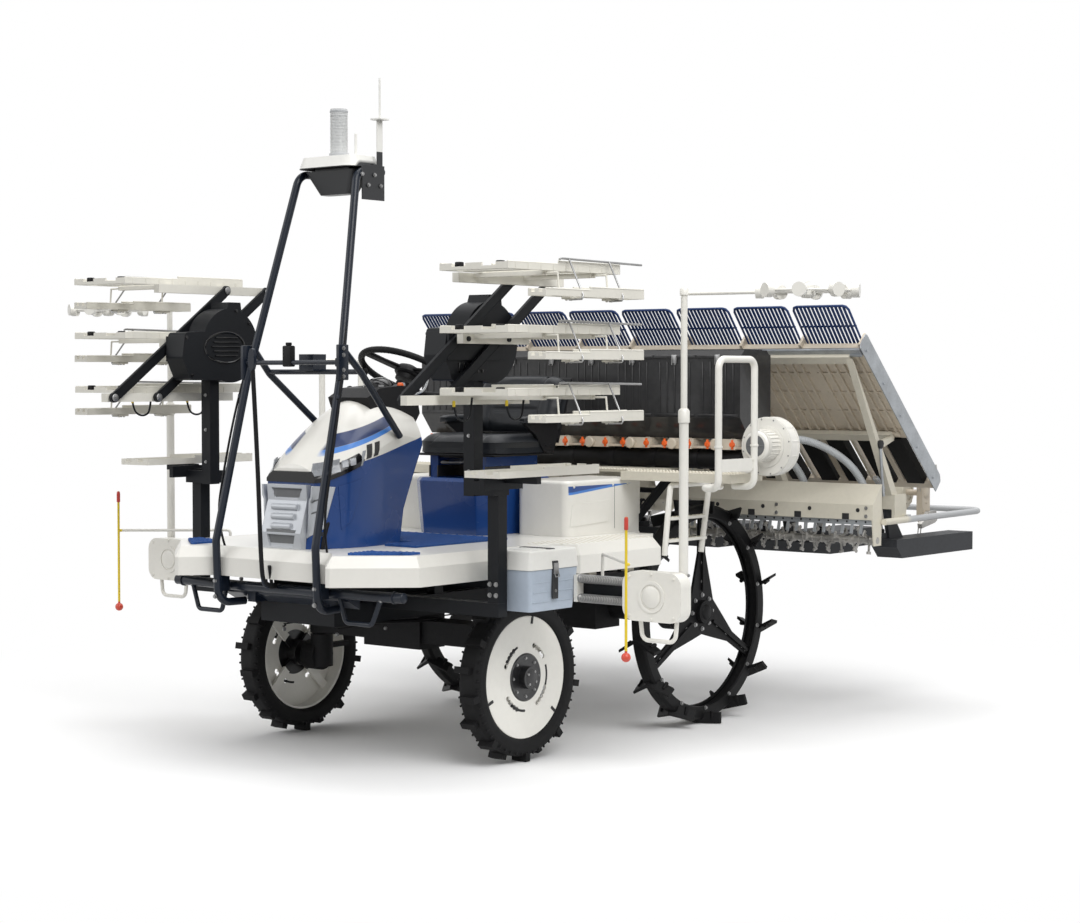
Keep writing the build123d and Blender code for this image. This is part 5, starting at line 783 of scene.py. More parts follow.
def dress_hoppers():
    """Lids, ribs and catches of the hoppers, and the metering units' knobs and straps."""
    ribs, lids, catches = kit("chassis", "hopper_smoke", "hopper_ribs", "hopper_lids", "hopper_catches spring_steel")
    knobs, meters = kit("chassis", "meter_beige", "metering_knobs orange_resin", "metering_trim")
    straps, = kit("chassis", "duct_black", "duct_straps dash_black")
    for y in (row_y(row, HOPPER_PITCH) for row in range(8)):
        for x, out in ((HOPPER_FRONT, 1), (HOPPER_BACK, -1)):
            for k in (-76, -38, 0, 38, 76):
                ribs.box((x, y + k - 3, 1322), (x + out * 3.5, y + k + 3, 1536), 1.2)
            ribs.box((x, y - 100, 1308), (x + out * 4, y + 100, 1318), 1.2)
        lids.box((HOPPER_BACK - 3, y - 108.5, 1550), (HOPPER_FRONT + 4, y + 108.5, 1566), 3)
        lids.box((HOPPER_BACK + 40, y - 96, 1582), (HOPPER_FRONT - 40, y + 96, 1588), 2.5)
        for k in (-60, 60):
            lids.box((HOPPER_BACK - 6, y + k - 14, 1530), (HOPPER_BACK + 2, y + k + 14, 1572), 2)
        catches.box((HOPPER_FRONT + 2, y - 13, 1530), (HOPPER_FRONT + 8, y + 13, 1566), 2)
        catches.tube([(HOPPER_FRONT + 9, y - 9, 1560), (HOPPER_FRONT + 11, y - 9, 1524),
                      (HOPPER_FRONT + 11, y + 9, 1524), (HOPPER_FRONT + 9, y + 9, 1560)], 1.6, 6)
        for side in SIDES:
            knob = y + side * 62
            knobs.lathe([(0, 9), (10, 8), (13, 3), (13, -4), (6, -7)], (-206, knob, 1192), AHEAD, 8)
            knobs.box((-212, knob - 4, 1172), (-202, knob + 4, 1212), 2)
            meters.box((-372, y + side * 60 - 4, 1178), (-244, y + side * 60 + 4, 1206), 2)
            for x in (-262, -350):
                meters.bolt((x, y + side * 64, 1188), (0, side, 0), 5)
        meters.lathe([(0, 5), (20, 5), (24, 1), (24, -3)], (-212, y - 30, OUTLET_Z), AHEAD, 24)
        meters.rod((-300, y + 30, 1204), (-300, y + 30, 1216), 34, 40, sides=24)
        straps.lathe([(42.2, -9), (44.6, -8), (44.6, 8), (42.2, 9)], (-283, y + 70, 1127.3), LEFT, 36, closed=True)
        straps.box((-291, y + 62, 1168), (-275, y + 78, 1177), 2)


def dress_blower():
    """Scroll flange, fins and bolts of the blower, and the grid on its motor."""
    casing, bolts, vents = kit("chassis", "blower_white", "blower_flanges", "blower_bolts spring_steel",
                               "blower_vents recess_grey")
    centre = Vector((-193, 1030, 1190))
    motor = Vector((-118, 1040, 1195))
    x_axis = Vector(AHEAD)
    for radii, heights, sides in (((104, 121), (24, 32), 56), ((104, 121), (-32, -24), 56), ((60, 86), (36, 40), 48)):
        casing.washer(radii, heights, centre, AHEAD, sides)
    for turn in turns(12, 0.2):
        out = Vector((0, cos(turn), sin(turn)))
        bolts.bolt(centre + x_axis * 32 + out * 112, AHEAD, 5)
        casing.rod(centre - x_axis * 32 + out * 113, centre + x_axis * 32 + out * 113, 7, sides=12)
    for turn in turns(24):
        out = Vector((0, cos(turn), sin(turn)))
        foot, wide = motor + out * 61 - x_axis * 36, out.cross(x_axis)
        casing.prism([foot + wide * 2, foot - wide * 2, foot - wide * 1.4 + out * 5, foot + wide * 1.4 + out * 5],
                     (62, 0, 0))
    for x in (30, 36, 42):
        casing.lathe([(62, -2), (65, -1.5), (65, 1.5), (62, 2)], motor + x_axis * x, AHEAD, 40, closed=True)
    # a dark grey disc behind the grid's bars: painted shade of the opening
    vents.washer((14, 44), (0, 1.5), motor + x_axis * 55, AHEAD, 36)
    for turn in turns(8):
        out = Vector((0, cos(turn), sin(turn)))
        vents.rod(motor + out * 16 + x_axis * 56, motor + out * 42 + x_axis * 56, 2.4, sides=8)


# x, share of the way from the outlet to the boot across the machine, and z
HOSE_ROUTE = ((-423.3, 0, OUTLET_Z), (-498, 0, OUTLET_Z), (-648, 0.5, 1221.3), (-859, 1, 1054), (-892.7, 1, 886.2))
BOOT_ROUTE = ((-892.7, 1, 886.2), (-975.7, 1, 850), (-975.7, 1, 794.3))


def ribbed(shape, path, radius, pitch=8.0, depth=2.6):
    """A corrugated hose along a smooth path."""
    lengths = [0.0]
    for a, b in zip(path, path[1:]):
        lengths.append(lengths[-1] + (b - a).length)
    steps = int(lengths[-1] / pitch) * 4
    points, radii, k = [], [], 0
    for step in range(steps + 1):
        along = lengths[-1] * step / steps
        while k < len(path) - 2 and lengths[k + 1] < along:
            k += 1
        points.append(path[k].lerp(path[k + 1], (along - lengths[k]) / max(lengths[k + 1] - lengths[k], 1e-6)))
        radii.append(radius if step % 4 in (1, 2) else radius - depth)
    shape.tube(points, radius, 14, radii)


def dress_hoses():
    """The hoses from the metering units down to the boots, in two lengths that meet at the lift's pins."""
    upper = Shape(None, "hose_grey", "hoses_upper", smooth=60)
    lower = Shape("planting_unit", "hose_grey", "hoses_lower", "boot_grey", smooth=60)
    cuffs, = kit("planting_unit", "hose_grey", "hose_cuffs dash_black")
    clamps, = kit("chassis", "hose_grey", "hose_clamps dash_black")
    for row in range(8):
        meter_y, boot_y = row_y(row, HOPPER_PITCH), row_y(row, ROW_PITCH)
        boot_y += 40 if boot_y > 0 else -40
        high, low = ([(x, meter_y + (boot_y - meter_y) * share, z) for x, share, z in legs]
                     for legs in (HOSE_ROUTE, BOOT_ROUTE))
        ribbed(upper, route(high), 17)
        lower.bent(low, 14.5, 16)
        cuffs.lathe([(0, -16), (18, -15), (19, -8), (19, 10), (17, 20), (0, 21)], high[-1], (-0.5, 0, -0.85), 24)
        cuffs.lathe([(0, -4), (20, -4), (20, 12), (17.5, 16), (0, 16)], (-975.7, boot_y, 796), UP, 24)
        clamps.lathe([(17.6, -6), (19.6, -5), (19.6, 5), (17.6, 6)], (-440, meter_y, OUTLET_Z), AHEAD, 24, closed=True)
        clamps.box((-446, meter_y - 5, 1208), (-434, meter_y + 5, 1217), 1.5)
    hoses = upper.place()
    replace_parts(hoses, "air_hoses")
    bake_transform(hoses)


# ---------------------------------------------------------------- wheels
def strip(centre, turn, corners):
    """Four corners on a wheel's face, from radii and distances beside a spoke."""
    return [centre + spoke(turn + width / radius, radius) for radius, width in corners]


def dress_wheels():
    """Rim edges, clips, slots, bolts and tread blocks of the front wheels, ribs and bolts of the rear ones."""
    for side in SIDES:
        hand, out = HANDS[side], Vector((0, side, 0))
        trim, clips, bolts = kit(f"front_wheel_{hand}", "rim_white", f"front_wheel_trim_{hand}",
                                 f"front_wheel_clips_{hand} recess_black", f"front_wheel_bolts_{hand} spring_steel")
        treads, = kit(f"front_wheel_{hand}", "tyre_black", f"front_tyre_blocks_{hand}")
        centre = Vector((FRONT_HUB[0], side * FRONT_HUB[1], FRONT_HUB[2]))
        trim.lathe([(226, 34), (233, 38), (236, 36), (236, 31), (226, 30)], centre, out, 64, closed=True)
        trim.lathe([(0, 74), (22, 73), (34, 69), (38, 64), (38, 56)], centre, out, 36)
        trim.lathe([(60, 35), (84, 40), (88, 40), (92, 36)], centre, out, 56)
        for turn in turns(4, 0.6):
            bolts.bolt(centre + out * 68 + spoke(turn, 28), out, 7)
        for turn in turns(8):
            bolts.bolt(centre + out * 37 + spoke(turn, 74), out, 7)
        for turn in (-0.35, 1.75, 3.84):
            clips.prism(strip(centre + out * 34, turn, ((206, -5.5), (236, -5.5), (236, 5.5), (206, 5.5))), out * 5)
        # curved black bars on the disc stand for its slots: painted shade of the openings
        for turn in (0.55, 2.85, 4.75):
            clips.tube([centre + spoke(turn + k * 0.09, 128) + out * 33.5 for k in range(8)], 6, 8)
        for turn in turns(54, pi / 2):
            for y in (-45, 45):
                at = centre + spoke(turn, 297) + Vector((0, y, 0))
                treads.rod(at - spoke(turn, 12), at + spoke(turn, 2.5), 5.5, 4, sides=6)
        rim, bolts = kit(f"rear_wheel_{hand}", "paddle_black", f"rear_wheel_trim_{hand}",
                         f"rear_wheel_bolts_{hand} spring_steel")
        centre = Vector((REAR_HUB[0], side * REAR_HUB[1], REAR_HUB[2]))
        rim.lathe([(400, -31), (446, -31), (450, -27), (450, -24), (404, -24)], centre, out, 72, closed=True)
        rim.lathe([(400, 24), (404, 31), (446, 31), (450, 27), (450, 24)], centre, out, 72, closed=True)
        rim.lathe([(0, 44), (24, 43), (32, 38), (34, 33), (34, 26)], centre, out, 32)
        for turn in turns(14, pi / 2):
            for y, beside in ((-62, 4), (0, 22), (62, 4)):
                foot = centre + spoke(turn, 420) + Vector((0, y, 0)) + spoke(turn - pi / 2, beside)
                rim.rod(foot, foot + spoke(turn, 34), 9, 6, sides=10)
            bolts.bolt(centre + spoke(turn, 408) + out * 31, out, 9)
        for turn in turns(8):
            bolts.bolt(centre + spoke(turn, 72) + out * 12, out, 10)
        for turn in turns(3, pi / 2):
            for length in (130, 210, 350, 385):
                bolts.bolt(centre + spoke(turn, length) + out * 12, out, 9)
            rim.prism(strip(centre + out * 12, turn, ((90, -6), (392, -6), (392, 6), (90, 6))), out * 9)


# ---------------------------------------------------------------- racks and markers
PIVOT_X = (1213, 1439)        # middle pivots of a rack's rear and front links
PIVOT_Z = 1610
FOLD = (-299.3, 217.5)        # from a middle pivot to a link's upper end
TRAY_X, TRAY_Y = (983, 1620), (830, 1140)
OUTER_X, OUTER_Y = (973, 1540), (1162, 1240)
OUTER_DROP = 92               # of the outer tray below the main one
LEVELS = (("top", 1, 1844.5), ("low", -1, 1409.5), ("mid", 0, 1627))  # tier, end of the links and height


def tray_trim(wires, hooks, tips, ribs, side, level):
    """Wire guide, hangers, stops and ribs of one tier."""
    outer = level - OUTER_DROP
    y_rail, y_out, y_bolt = side * (TRAY_Y[1] + 11), side * (OUTER_Y[1] + 5), side * (OUTER_Y[0] + 22)
    # a guide over the main tray's outer wall, carried by two wires from the outer tray
    wires.tube(facing(y_rail, (1352, level + 40), (1346, level + 43), (1338, level + 44), (878, level + 38),
                      (868, level + 38)), 4, 10)
    for x in (1300, 1068):
        wires.tube([(x, y_rail, level + 43), (x + 2, y_rail + side * 5, level + 39), (x + 38, y_out, outer + 6),
                    (x + 40, y_out, outer - 3), (x + 40, y_out - side * 4, outer - 8), (x + 40, y_bolt, outer - 9)],
                   3.4, 8)
        hooks.box((x + 14, side * (OUTER_Y[0] + 8), outer - 8), (x + 66, side * (OUTER_Y[1] - 30), outer), 2)
        for dx in (28, 54):
            hooks.bolt((x + dx, y_bolt, outer - 8), DOWN, 6)
    for share in (0.2, 0.8):
        y = side * (TRAY_Y[0] + share * (TRAY_Y[1] - TRAY_Y[0]))
        tips.box((TRAY_X[1] - 46, y - 12, level + 6), (TRAY_X[1] - 22, y + 12, level + 30), 4)
        tips.box((TRAY_X[0] + 24, y - 12, level + 6), (TRAY_X[0] + 48, y + 12, level + 32), 4)
    for k in range(9):
        x = TRAY_X[0] + 40 + k * (TRAY_X[1] - TRAY_X[0] - 80) / 8
        for wall in TRAY_Y:
            ribs.box((x - 2, side * wall - 1.6, level + 1), (x + 2, side * wall + 1.6, level + 22), 0)
    # beads along the walls' tops, lower where the trays open
    for wall, (back, front), step, top in (
            (TRAY_Y[1] - 3, TRAY_X, 1340, level + 34), (TRAY_Y[0] + 3, TRAY_X, 1340, level + 34),
            (OUTER_Y[1] - 2, OUTER_X, 1290, outer + 34), (OUTER_Y[0] + 2, OUTER_X, 1290, outer + 34)):
        ribs.tube(facing(side * wall, (back + 3, top), (step, top)), 3.4)
        ribs.tube(facing(side * wall, (step, top - 10), (front - 3, top - 10)), 3.4)


def dress_racks():
    """Trays' trim, pins, link flanges, drive cover, post bolts and wire hoops of both racks."""
    for side in SIDES:
        hand = HANDS[side]
        for tier, end, level in LEVELS:
            body = f"rack_{hand}_{tier}" if end else "chassis"
            trim = kit(body, "tray_white", *(label.format(f"{hand}_{tier}") for label in (
                "tray_wires_{} spring_steel", "tray_hooks_{}", "tray_stops_{} dash_black", "tray_ribs_{}")))
            tray_trim(*trim, side, level)
            pins, = kit(body, "rack_black", f"rack_pins_{hand}_{tier} spring_steel")
            for x in PIVOT_X:
                x, z = x + end * FOLD[0], PIVOT_Z + end * FOLD[1]
                pins.lathe([(0, 3.5), (13, 3), (15, 1.5), (15, -1.2)], (x, side * 752.5, z), (0, -side, 0), 20)
                pins.rod((x, side * 750, z), (x, side * 747, z), 6, sides=6)
        for place, x in zip(("rear", "front"), PIVOT_X):
            flanges, = kit(f"rack_{hand}_{place}_link", "rack_black", f"link_channel_{hand}_{place}")
            low, middle, high = (Vector((x + end * FOLD[0], side * 766, PIVOT_Z + end * FOLD[1])) for end in (-1, 0, 1))
            along = (high - low).normalized()
            wide = Vector((-along.z, 0, along.x))
            for edge in (-17, 17):
                foot, head = low + along * 22 + wide * edge, high - along * 22 + wide * edge
                flanges.prism([foot - wide * 1.8, foot + wide * 1.8, head + wide * 1.8, head - wide * 1.8],
                              (0, -side * 14, 0))
            for at in (low, middle, high):
                flanges.washer((11, 20), (0, 2.2), at - Vector((0, side * 0.8, 0)), (0, side, 0), 24)
        covers, posts = kit("chassis", "rack_black", f"rack_drive_ribs_{hand} lamp_black",
                            f"rack_post_bolts_{hand} spring_steel")
        hoops, tips = kit(f"rack_{hand}_low", "rack_black", f"rack_hoops_{hand}", f"rack_hoop_tips_{hand} rod_yellow")
        for k in range(6):
            x = 1276 + k * 26
            covers.box((x, side * 738, PIVOT_Z - 120), (x + 9, side * 741, PIVOT_Z - 84), 1.2)
        covers.tube([(1252 + 96 * cos(turn) * (1.25 if cos(turn) > 0 else 1), side * 640, 1592 + 62 * sin(turn))
                     for turn in turns(40)], 5, 8, closed=True)
        for k in range(5):
            z = 1556 + k * 18
            covers.box((1180 + abs(k - 2) * 8, side * 640, z), (1336 - abs(k - 2) * 10, side * 634, z + 6), 2)
        for at in facing(side * 640, (1150, 1500), (1440, 1480), (1470, 1630), (1130, 1690), (1200, 1740)):
            covers.bolt(at, (0, -side, 0))
        for z in (680, 720, 1060, 1084):
            for y in (775, 805):
                posts.bolt((1284.5, side * y, z), AHEAD, 9)
        for z in (1130, 1260, 1400, 1500):
            posts.bolt((1314.5, side * 700, z), AHEAD, 7)
        level = LEVELS[1][2]
        for x in (1180, 1470):
            hoops.bent(facing(side * 850, (x, level - 8), (x + 6, level - 60), (x + 20, level - 88),
                              (x + 60, level - 92), (x + 92, level - 70), (x + 98, level - 34)), 4, 8)
            tips.lathe([(0, 12), (5, 10), (6, 0), (5, -10), (0, -12)], (x + 98, side * 850, level - 30), UP, 16)


def dress_markers():
    """Springs, cases, poles and star wheels of the line markers, and the caps of the side rods."""
    for side in SIDES:
        hand = HANDS[side]
        case, springs = kit("chassis", "marker_white", f"marker_case_trim_{hand}",
                            f"marker_springs_{hand} spring_steel")
        pole, clamp = kit(f"marker_arm_{hand}", "marker_white", f"marker_trim_{hand}",
                          f"marker_clamp_{hand} spring_steel")
        cap, = kit("chassis", "rod_yellow", f"side_rod_cap_{hand} red_tip")
        for z in (654, 726):
            springs.coil((951, side * 934, z), (951, side * 1162, z), 14.5, 2.4, 30)
            springs.lathe([(0, 7), (9, 6), (15, 1), (15, -3)], (951, side * 932, z), (0, -side, 0), 18)
        for y, z in ((1192, 752), (1388, 752), (1192, 612), (1388, 612), (1290, 764), (1290, 600)):
            case.bolt((994, side * y, z), AHEAD, 6)
        case.lathe([(0, 5), (34, 5), (40, 2), (40, 0)], (994, side * 1290, 682), AHEAD, 36)
        case.washer((46, 58), (0, 3), (994, side * 1290, 682), AHEAD, 40)
        pole.lathe([(16, -26), (21, -24), (21, 18), (15, 26), (11, 27)], (907, side * 1370, 1334), UP, 28)
        pole.lathe([(10, -14), (16, -12), (16, 8), (12, 14), (0, 14)], (907, side * 1370, 1779), UP, 28)
        hub = Vector((847, side * 1850, 1773))
        pole.lathe([(0, 26), (16, 25), (26, 20), (28, 8), (28, -14), (20, -24), (0, -26)], hub, UP)
        pole.tube([hub + Vector((150 * cos(turn), 150 * sin(turn), 0)) for turn in turns(48)], 4, 8, closed=True)
        pole.bolt(hub + Vector((0, 0, 25)), UP, 10)
        clamp.rod((907, side * 1370 - 24, 720), (907, side * 1370 + 24, 720), 6, sides=6)
        clamp.bolt((907, side * 1370 + 22, 760), LEFT, 6)
        cap.lathe([(0, 12), (6, 9), (7.5, 0), (7.5, -34), (5, -36)], (1223, side * 1347, 975), UP, 20)


# ---------------------------------------------------------------- planting unit and its table
ROTOR = (-1498, 945)
LEVELLER = (-795, 775)
CASES = (-900, -300, 300, 900)
TABLE_FOOT, TABLE_TOP = (-1288, 1000), (-645, 1614)
TABLE_SLOPE = atan2(TABLE_TOP[1] - TABLE_FOOT[1], TABLE_TOP[0] - TABLE_FOOT[0])


def on_table(along, out, y):
    """A point given along the table from its foot and out from it towards the front."""
    return Vector((TABLE_FOOT[0] + along * cos(TABLE_SLOPE) + out * sin(TABLE_SLOPE), y,
                   TABLE_FOOT[1] + along * sin(TABLE_SLOPE) - out * cos(TABLE_SLOPE)))


def slat(shape, start, end, out, y, half, thick):
    """A flat bar on the table, from start to end along it."""
    shape.prism([on_table(start, out, y - half), on_table(end, out, y - half), on_table(end, out, y + half),
                 on_table(start, out, y + half)], on_table(0, thick, 0) - on_table(0, 0, 0))


def dress_table():
    """Ribs under the lanes, lane lips, end plates, belt cleats and the grilles at the top."""
    ribs, lips, plates = kit("table", "table_beige", "table_ribs", "table_lane_lips", "table_end_plates edge_grey")
    cleats, = kit("table", "belt_black", "belt_cleats")
    grilles, = kit("table", "grille_blue", "lane_grilles")
    for y in (row_y(lane, ROW_PITCH) for lane in range(8)):
        for k in (-110, -66, -22, 22, 66, 110):
            slat(ribs, 350, 870, 22, y + k, 5, 16)
            slat(ribs, 350, 870, -3, y + k, 5, 3)
        for k in range(5):
            slat(ribs, 380 + k * 118, 388 + k * 118, 26, y, 132, 5)
        for side in SIDES:
            for k in range(14):
                slat(cleats, 54 + k * 20.5, 61 + k * 20.5, -4, y + side * 70, 38, -4)
        foot, rise = on_table(849, -8, y), Vector((150, 0, 178))
        outline = ((-134, 0), (-134, 0.9), (-126, 0.97), (-112, 0.99), (112, 0.99), (126, 0.97), (134, 0.9), (134, 0))
        grilles.tube([foot + rise * share + Vector((0, across, 0)) for across, share in outline], 5.6, closed=True)
        for k in range(13):
            bar = foot + Vector((0, -114 + k * 19, 0))
            grilles.tube([bar - rise * 0.02, bar + rise * 0.985], 5.8, 8)
        grilles.tube([foot + rise * 0.5 + Vector((-4, across, 5)) for across in (-134, 134)], 4, 8)
    for fin in range(9):
        y = -1200 + fin * ROW_PITCH + {0: 6, 8: -6}.get(fin, 0)
        lips.tube([on_table(4, -34, y), on_table(908, -34, y)], 7.5)
    rail = ((858, 34), (894, 34), (894, 44), (868, 44), (868, 50), (858, 50))
    plates.prism([on_table(along, out, -1196) for along, out in rail], (0, 2392, 0))
    for side in SIDES:
        outline = ((-6, 40), (900, 40), (912, 22), (912, -30), (900, -38), (20, -38), (-6, -20))
        plates.prism([on_table(along, out, side * 1200) for along, out in outline], (0, side * 4, 0))
        for along in (60, 260, 460, 660, 860):
            plates.bolt(on_table(along, 14, side * 1204), (0, side, 0))
    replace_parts(grilles.place(), "table_grilles")


def dress_unit():
    """Cases, boards, tine guard, levers and shafts of the planting unit."""
    trim, bolts, dark, steel = kit("planting_unit", "frame_beige", "planting_case_trim",
                                   "planting_unit_bolts spring_steel", "planting_unit_slots recess_black",
                                   "planting_unit_comb edge_grey")
    collars, = kit("levelling_rotor", "rotor_steel", "levelling_collars")
    hubs, = kit("planting_rotors", "meter_beige", "rotor_case_trim")
    for y in CASES:
        for side in SIDES:
            out, face, hub = (0, side, 0), y + side * 30, y + side * 127
            for at in facing(face, (-1050, 930), (-1120, 865), (-1250, 865), (-1380, 865), (-1470, 975),
                             (-1530, 915), (-1530, 975)):
                bolts.bolt(at, out, 6)
            trim.washer((40, 52), (0, 5), (ROTOR[0], face, ROTOR[1]), out)
            trim.prism(facing(face, (-1180, 850), (-1420, 850), (-1400, 880), (-1180, 880)), (0, side * 4, 0))
            hubs.lathe([(0, 5), (20, 5), (26, 1), (26, -1)], (ROTOR[0], hub, ROTOR[1]), out, 28)
            for dz in (-105, 105):
                hubs.washer((18, 30), (0, 3), (ROTOR[0], hub, ROTOR[1] + dz), out, 28)
            for dx, dz in ((0, 45), (0, -45), (20, 0), (-20, 0)):
                hubs.bolt((ROTOR[0] + dx, hub, ROTOR[1] + dz), out, 5)
        trim.box((-1010, y - 40, 896), (-975, y + 40, 964), 3)
    for k in range(15):
        bolts.bolt((-991.7, k * 150 - 1050, 960), UP, 7)
    for side in SIDES:
        for y in (240, 700, 1150):
            for z in (880, 915):
                bolts.bolt((-753, side * y, z), AHEAD)
        # black slots and round holes laid on the board: painted shade of the openings
        for y in (side * (330 + k * 240) for k in range(4)):
            dark.box((-752.6, y - 17, 864), (-751.2, y + 17, 890), 0.3)
            dark.lathe([(0, 1.4), (9, 1.4), (9, 0), (0, 0)], (-752.6, y + 60, 905), AHEAD, 20)
        # perforated comb plate between the board and the tines
        low = min(side * 226, side * 1172)
        steel.box((-765, low, 842), (-762, low + 946, 866), 0.6)
        for y in (low + 23 + k * 46 for k in range(20)):
            steel.prism(facing(y - 7, (-764, 842), (-762, 842), (-752, 806), (-758, 802)), (0, 14, 0))
            # black discs on the comb: painted shade of its perforations
            dark.lathe([(0, 1), (4.5, 1), (4.5, 0), (0, 0)], (-762, y + 20, 855), AHEAD, 14)
        # adjusting lever, its knob and its spring at each end of the unit
        steel.bent([(-900, side * 1150, 960), (-884, side * 1152, 1030), (-860, side * 1160, 1120),
                    (-848, side * 1164, 1168)], 6)
        dark.lathe([(0, 26), (12, 22), (15, 10), (12, -6), (6, -12), (0, -12)], (-848, side * 1164, 1178),
                   (0.1, 0, 1), 20)
        steel.coil((-985, side * 1120, 966), (-880, side * 1120, 1040), 12, 2, 14)
        for k in range(10):
            collars.washer((14, 21), (-9, 9), (LEVELLER[0], side * (260 + k * 100), LEVELLER[1]), LEFT, 20)


# ---------------------------------------------------------------- mast, toolbox, platform, engine and lift
def dress_front():
    """Bolts, plates and cables of the mast and bumper, the aiming rod's sleeve and the signal tower's ribs."""
    bolts, plates, cable, sleeve = kit("chassis", "tube_blue_black", "mast_bolts spring_steel", "mast_elbow_plates",
                                       "mast_cable dash_black", "aiming_rod_sleeve dash_black")
    rings, caps = kit("chassis", "tower_clear", "tower_ribs", "tower_caps cap_grey")
    for side in SIDES:
        for x, y, z in ((1547, 250, 700), (1547, 250, 660), (1671, 264, 700), (1671, 264, 640)):
            bolts.bolt((x, side * y, z), AHEAD, 9)
        for z in (1476, 1500, 1555, 1580):
            bolts.bolt((1512, side * 262, z), (0, side, 0))
        for y in (300, 500):
            bolts.bolt((1572, side * y, 664), DOWN)
        plates.box((1484, side * 246, 1462), (1536, side * 262, 1594), 4)
        cable.bent([(x, side * y, z) for x, y, z in (
            (1586, 262, 760), (1650, 284, 900), (1600, 282, 1150), (1534, 270, 1420), (1440, 214, 1780),
            (1352, 182, 2120), (1330, 160, 2200))], 4.5, 8)
        for x, y, z in ((1640, 272, 900), (1600, 268, 1120), (1540, 262, 1400), (1450, 218, 1740), (1380, 186, 2020)):
            plates.lathe([(0, -7), (8, -7), (8, 7), (0, 7)], (x, side * y, z), (-0.2, 0, 1), 12)
        plates.lathe([(19, -5), (23, -4), (23, 4), (19, 5)], (1560, side * 560, 678), (0.08, 1, 0), 24, closed=True)
        plates.ball((1557, side * 600, 678), 19.5, (1, 0.35, 1))
    for k in range(4):
        bolts.bolt((1214 + k * 34, 175, 2200 + (k % 2) * 40), LEFT)
    sleeve.bent(facing(0, (1640, 694), (1668, 700), (1684, 760), (1700, 1180), (1722, 1500)), 8.5, 14)
    sleeve.box((1612, -13, 684), (1646, 13, 704), 3)
    sleeve.tube([(1630, 0, 700), (1648, 6, 770)], 7)
    low, high = box_mm("signal_tower")
    x = (low.x + high.x) / 2
    for k in range(28):
        rings.lathe([(33, -1.4), (34.6, 0), (33, 1.4)], (x, 0, 2336 + k * 5.6), UP, 40)
    caps.lathe([(37, 0), (38, 4), (38, 14), (34, 18), (33.4, 18)], (x, 0, 2315), UP, 40)
    caps.lathe([(33.4, -4), (35, -3), (35, 4), (30, 9), (0, 11)], (x, 0, 2490), UP, 40)


def dress_toolbox():
    """Strap, latch and ribs of the toolbox, and the panel on its lid."""
    strap, latch, ribs = kit("chassis", "box_grey", "toolbox_strap link_black", "toolbox_latch spring_steel",
                             "toolbox_ribs")
    panel, = kit("toolbox_lid", "housing_white", "toolbox_lid_panel")
    strap.box((1066, 914, 660), (1098, 921, 800), 2)
    strap.box((1066, 760, 838), (1098, 905, 845), 2)
    latch.box((1069, 919, 752), (1095, 926, 792), 2)
    latch.tube([(1070, 925, 760), (1070, 930, 742), (1094, 930, 742), (1094, 925, 760)], 2, 6)
    latch.bolt((1082, 921, 690), LEFT, 6)
    for k in range(3):
        y, z = 905 + k * 2.4, 650 + k * 36
        for x_low, x_high in ((968, 1058), (1106, 1200)):
            ribs.box((x_low, y, z), (x_high, y + 4, z + 5), 1.2)
    panel.box((975, 772, 840), (1190, 888, 843.5), 2)


def dress_platform():
    """Scalloped treads of the platform and steps, rail joints and cover seams."""
    treads, = kit("chassis", "frame_beige", "platform_treads")
    joints, = kit("chassis", "marker_white", "rail_joints")
    seams, caps = kit("chassis", "body_white", "cover_seams recess_grey", "cover_panels")
    covers = surface("side_covers")
    studs = [(x, -471 + k * 16.5) for k in range(58) for x in (-50, -34)]
    studs += [(x, side * (504 + k * 16.5)) for side in SIDES for k in range(32) for x in (-18, 4, 48, 70)]
    for x, y in studs:
        treads.lathe([(0, 5), (4, 4.6), (6.5, 1), (6.5, -2)], (x, y, 1085), UP, 12)
    for side in SIDES:
        out, ray = (0, side, 0), (0, -side, 0)
        for z in (812, 902):
            for x in (-140 + k * 29 for k in range(9)):
                treads.box((x, side * 735 - 9, z - 0.5), (x + 12, side * 735 + 9, z + 3), 0.6)
        for at in facing(side * 1083, (17, 1108), (17, 1142), (247, 1108), (247, 1142)):
            joints.bolt(at, out, 7)
        for x in (5, 259):
            joints.lathe([(14, -5), (17, -4), (17, 4), (14, 5)], (x, side * 1080, 1200), UP, 24, closed=True)
        laid(seams, covers, facing(side * 560, (150, 1030), (148, 1030), (148, 850), (150, 850)), ray, (1, 12), 0.8, 3)
        laid(caps, covers, facing(side * 560, (430, 960), (190, 970), (200, 880), (440, 870)), ray, (12, 6), 2.4, 5)
        for x in (60, 160, 420):
            caps.bolt((x, side * 490, 1030), out, 5)


def dress_engine():
    """Fins, filter, pipes and bolts under the floor."""
    cast, pipes, bolts = kit("chassis", "cast_black", "engine_fins", "engine_pipes dash_black",
                             "engine_bolts spring_steel")
    low, high = box_mm("engine_block")
    for side, y in ((-1, low.y), (1, high.y)):
        for z in (low.z + 40 + k * 16 for k in range(7)):
            cast.box((low.x + 40, y, z), (high.x - 60, y + side * 6, z + 5), 1)
        cast.lathe([(0, 62), (24, 60), (34, 52), (34, 0)], (low.x + 120, y, low.z + 60), (0, side, 0), 28)
        for k in range(6):
            bolts.bolt((low.x + 60 + k * (high.x - low.x - 120) / 5, y, low.z + 22), (0, side, 0))
        pipes.bent([(high.x - 40, y, high.z - 60), (high.x + 30, y + side * 20, high.z - 80),
                    (high.x + 40, side * 140, 560), (1100, side * 150, 520), (905, side * 190, 520)], 8)


def dress_lift():
    """Pin caps of the lift links."""
    for node, height in (("lower_links", 560), ("upper_link", 800)):
        caps, = kit(node, "link_steel", f"{node}_caps spring_steel")
        y = box_mm(node)[1].y
        for x, z in ((-433, height), (-891.7, height + 321.2)):
            for side in SIDES:
                caps.lathe([(0, 6), (20, 5), (25, 1), (25, -1)], (x, side * y, z), (0, side, 0), 24)


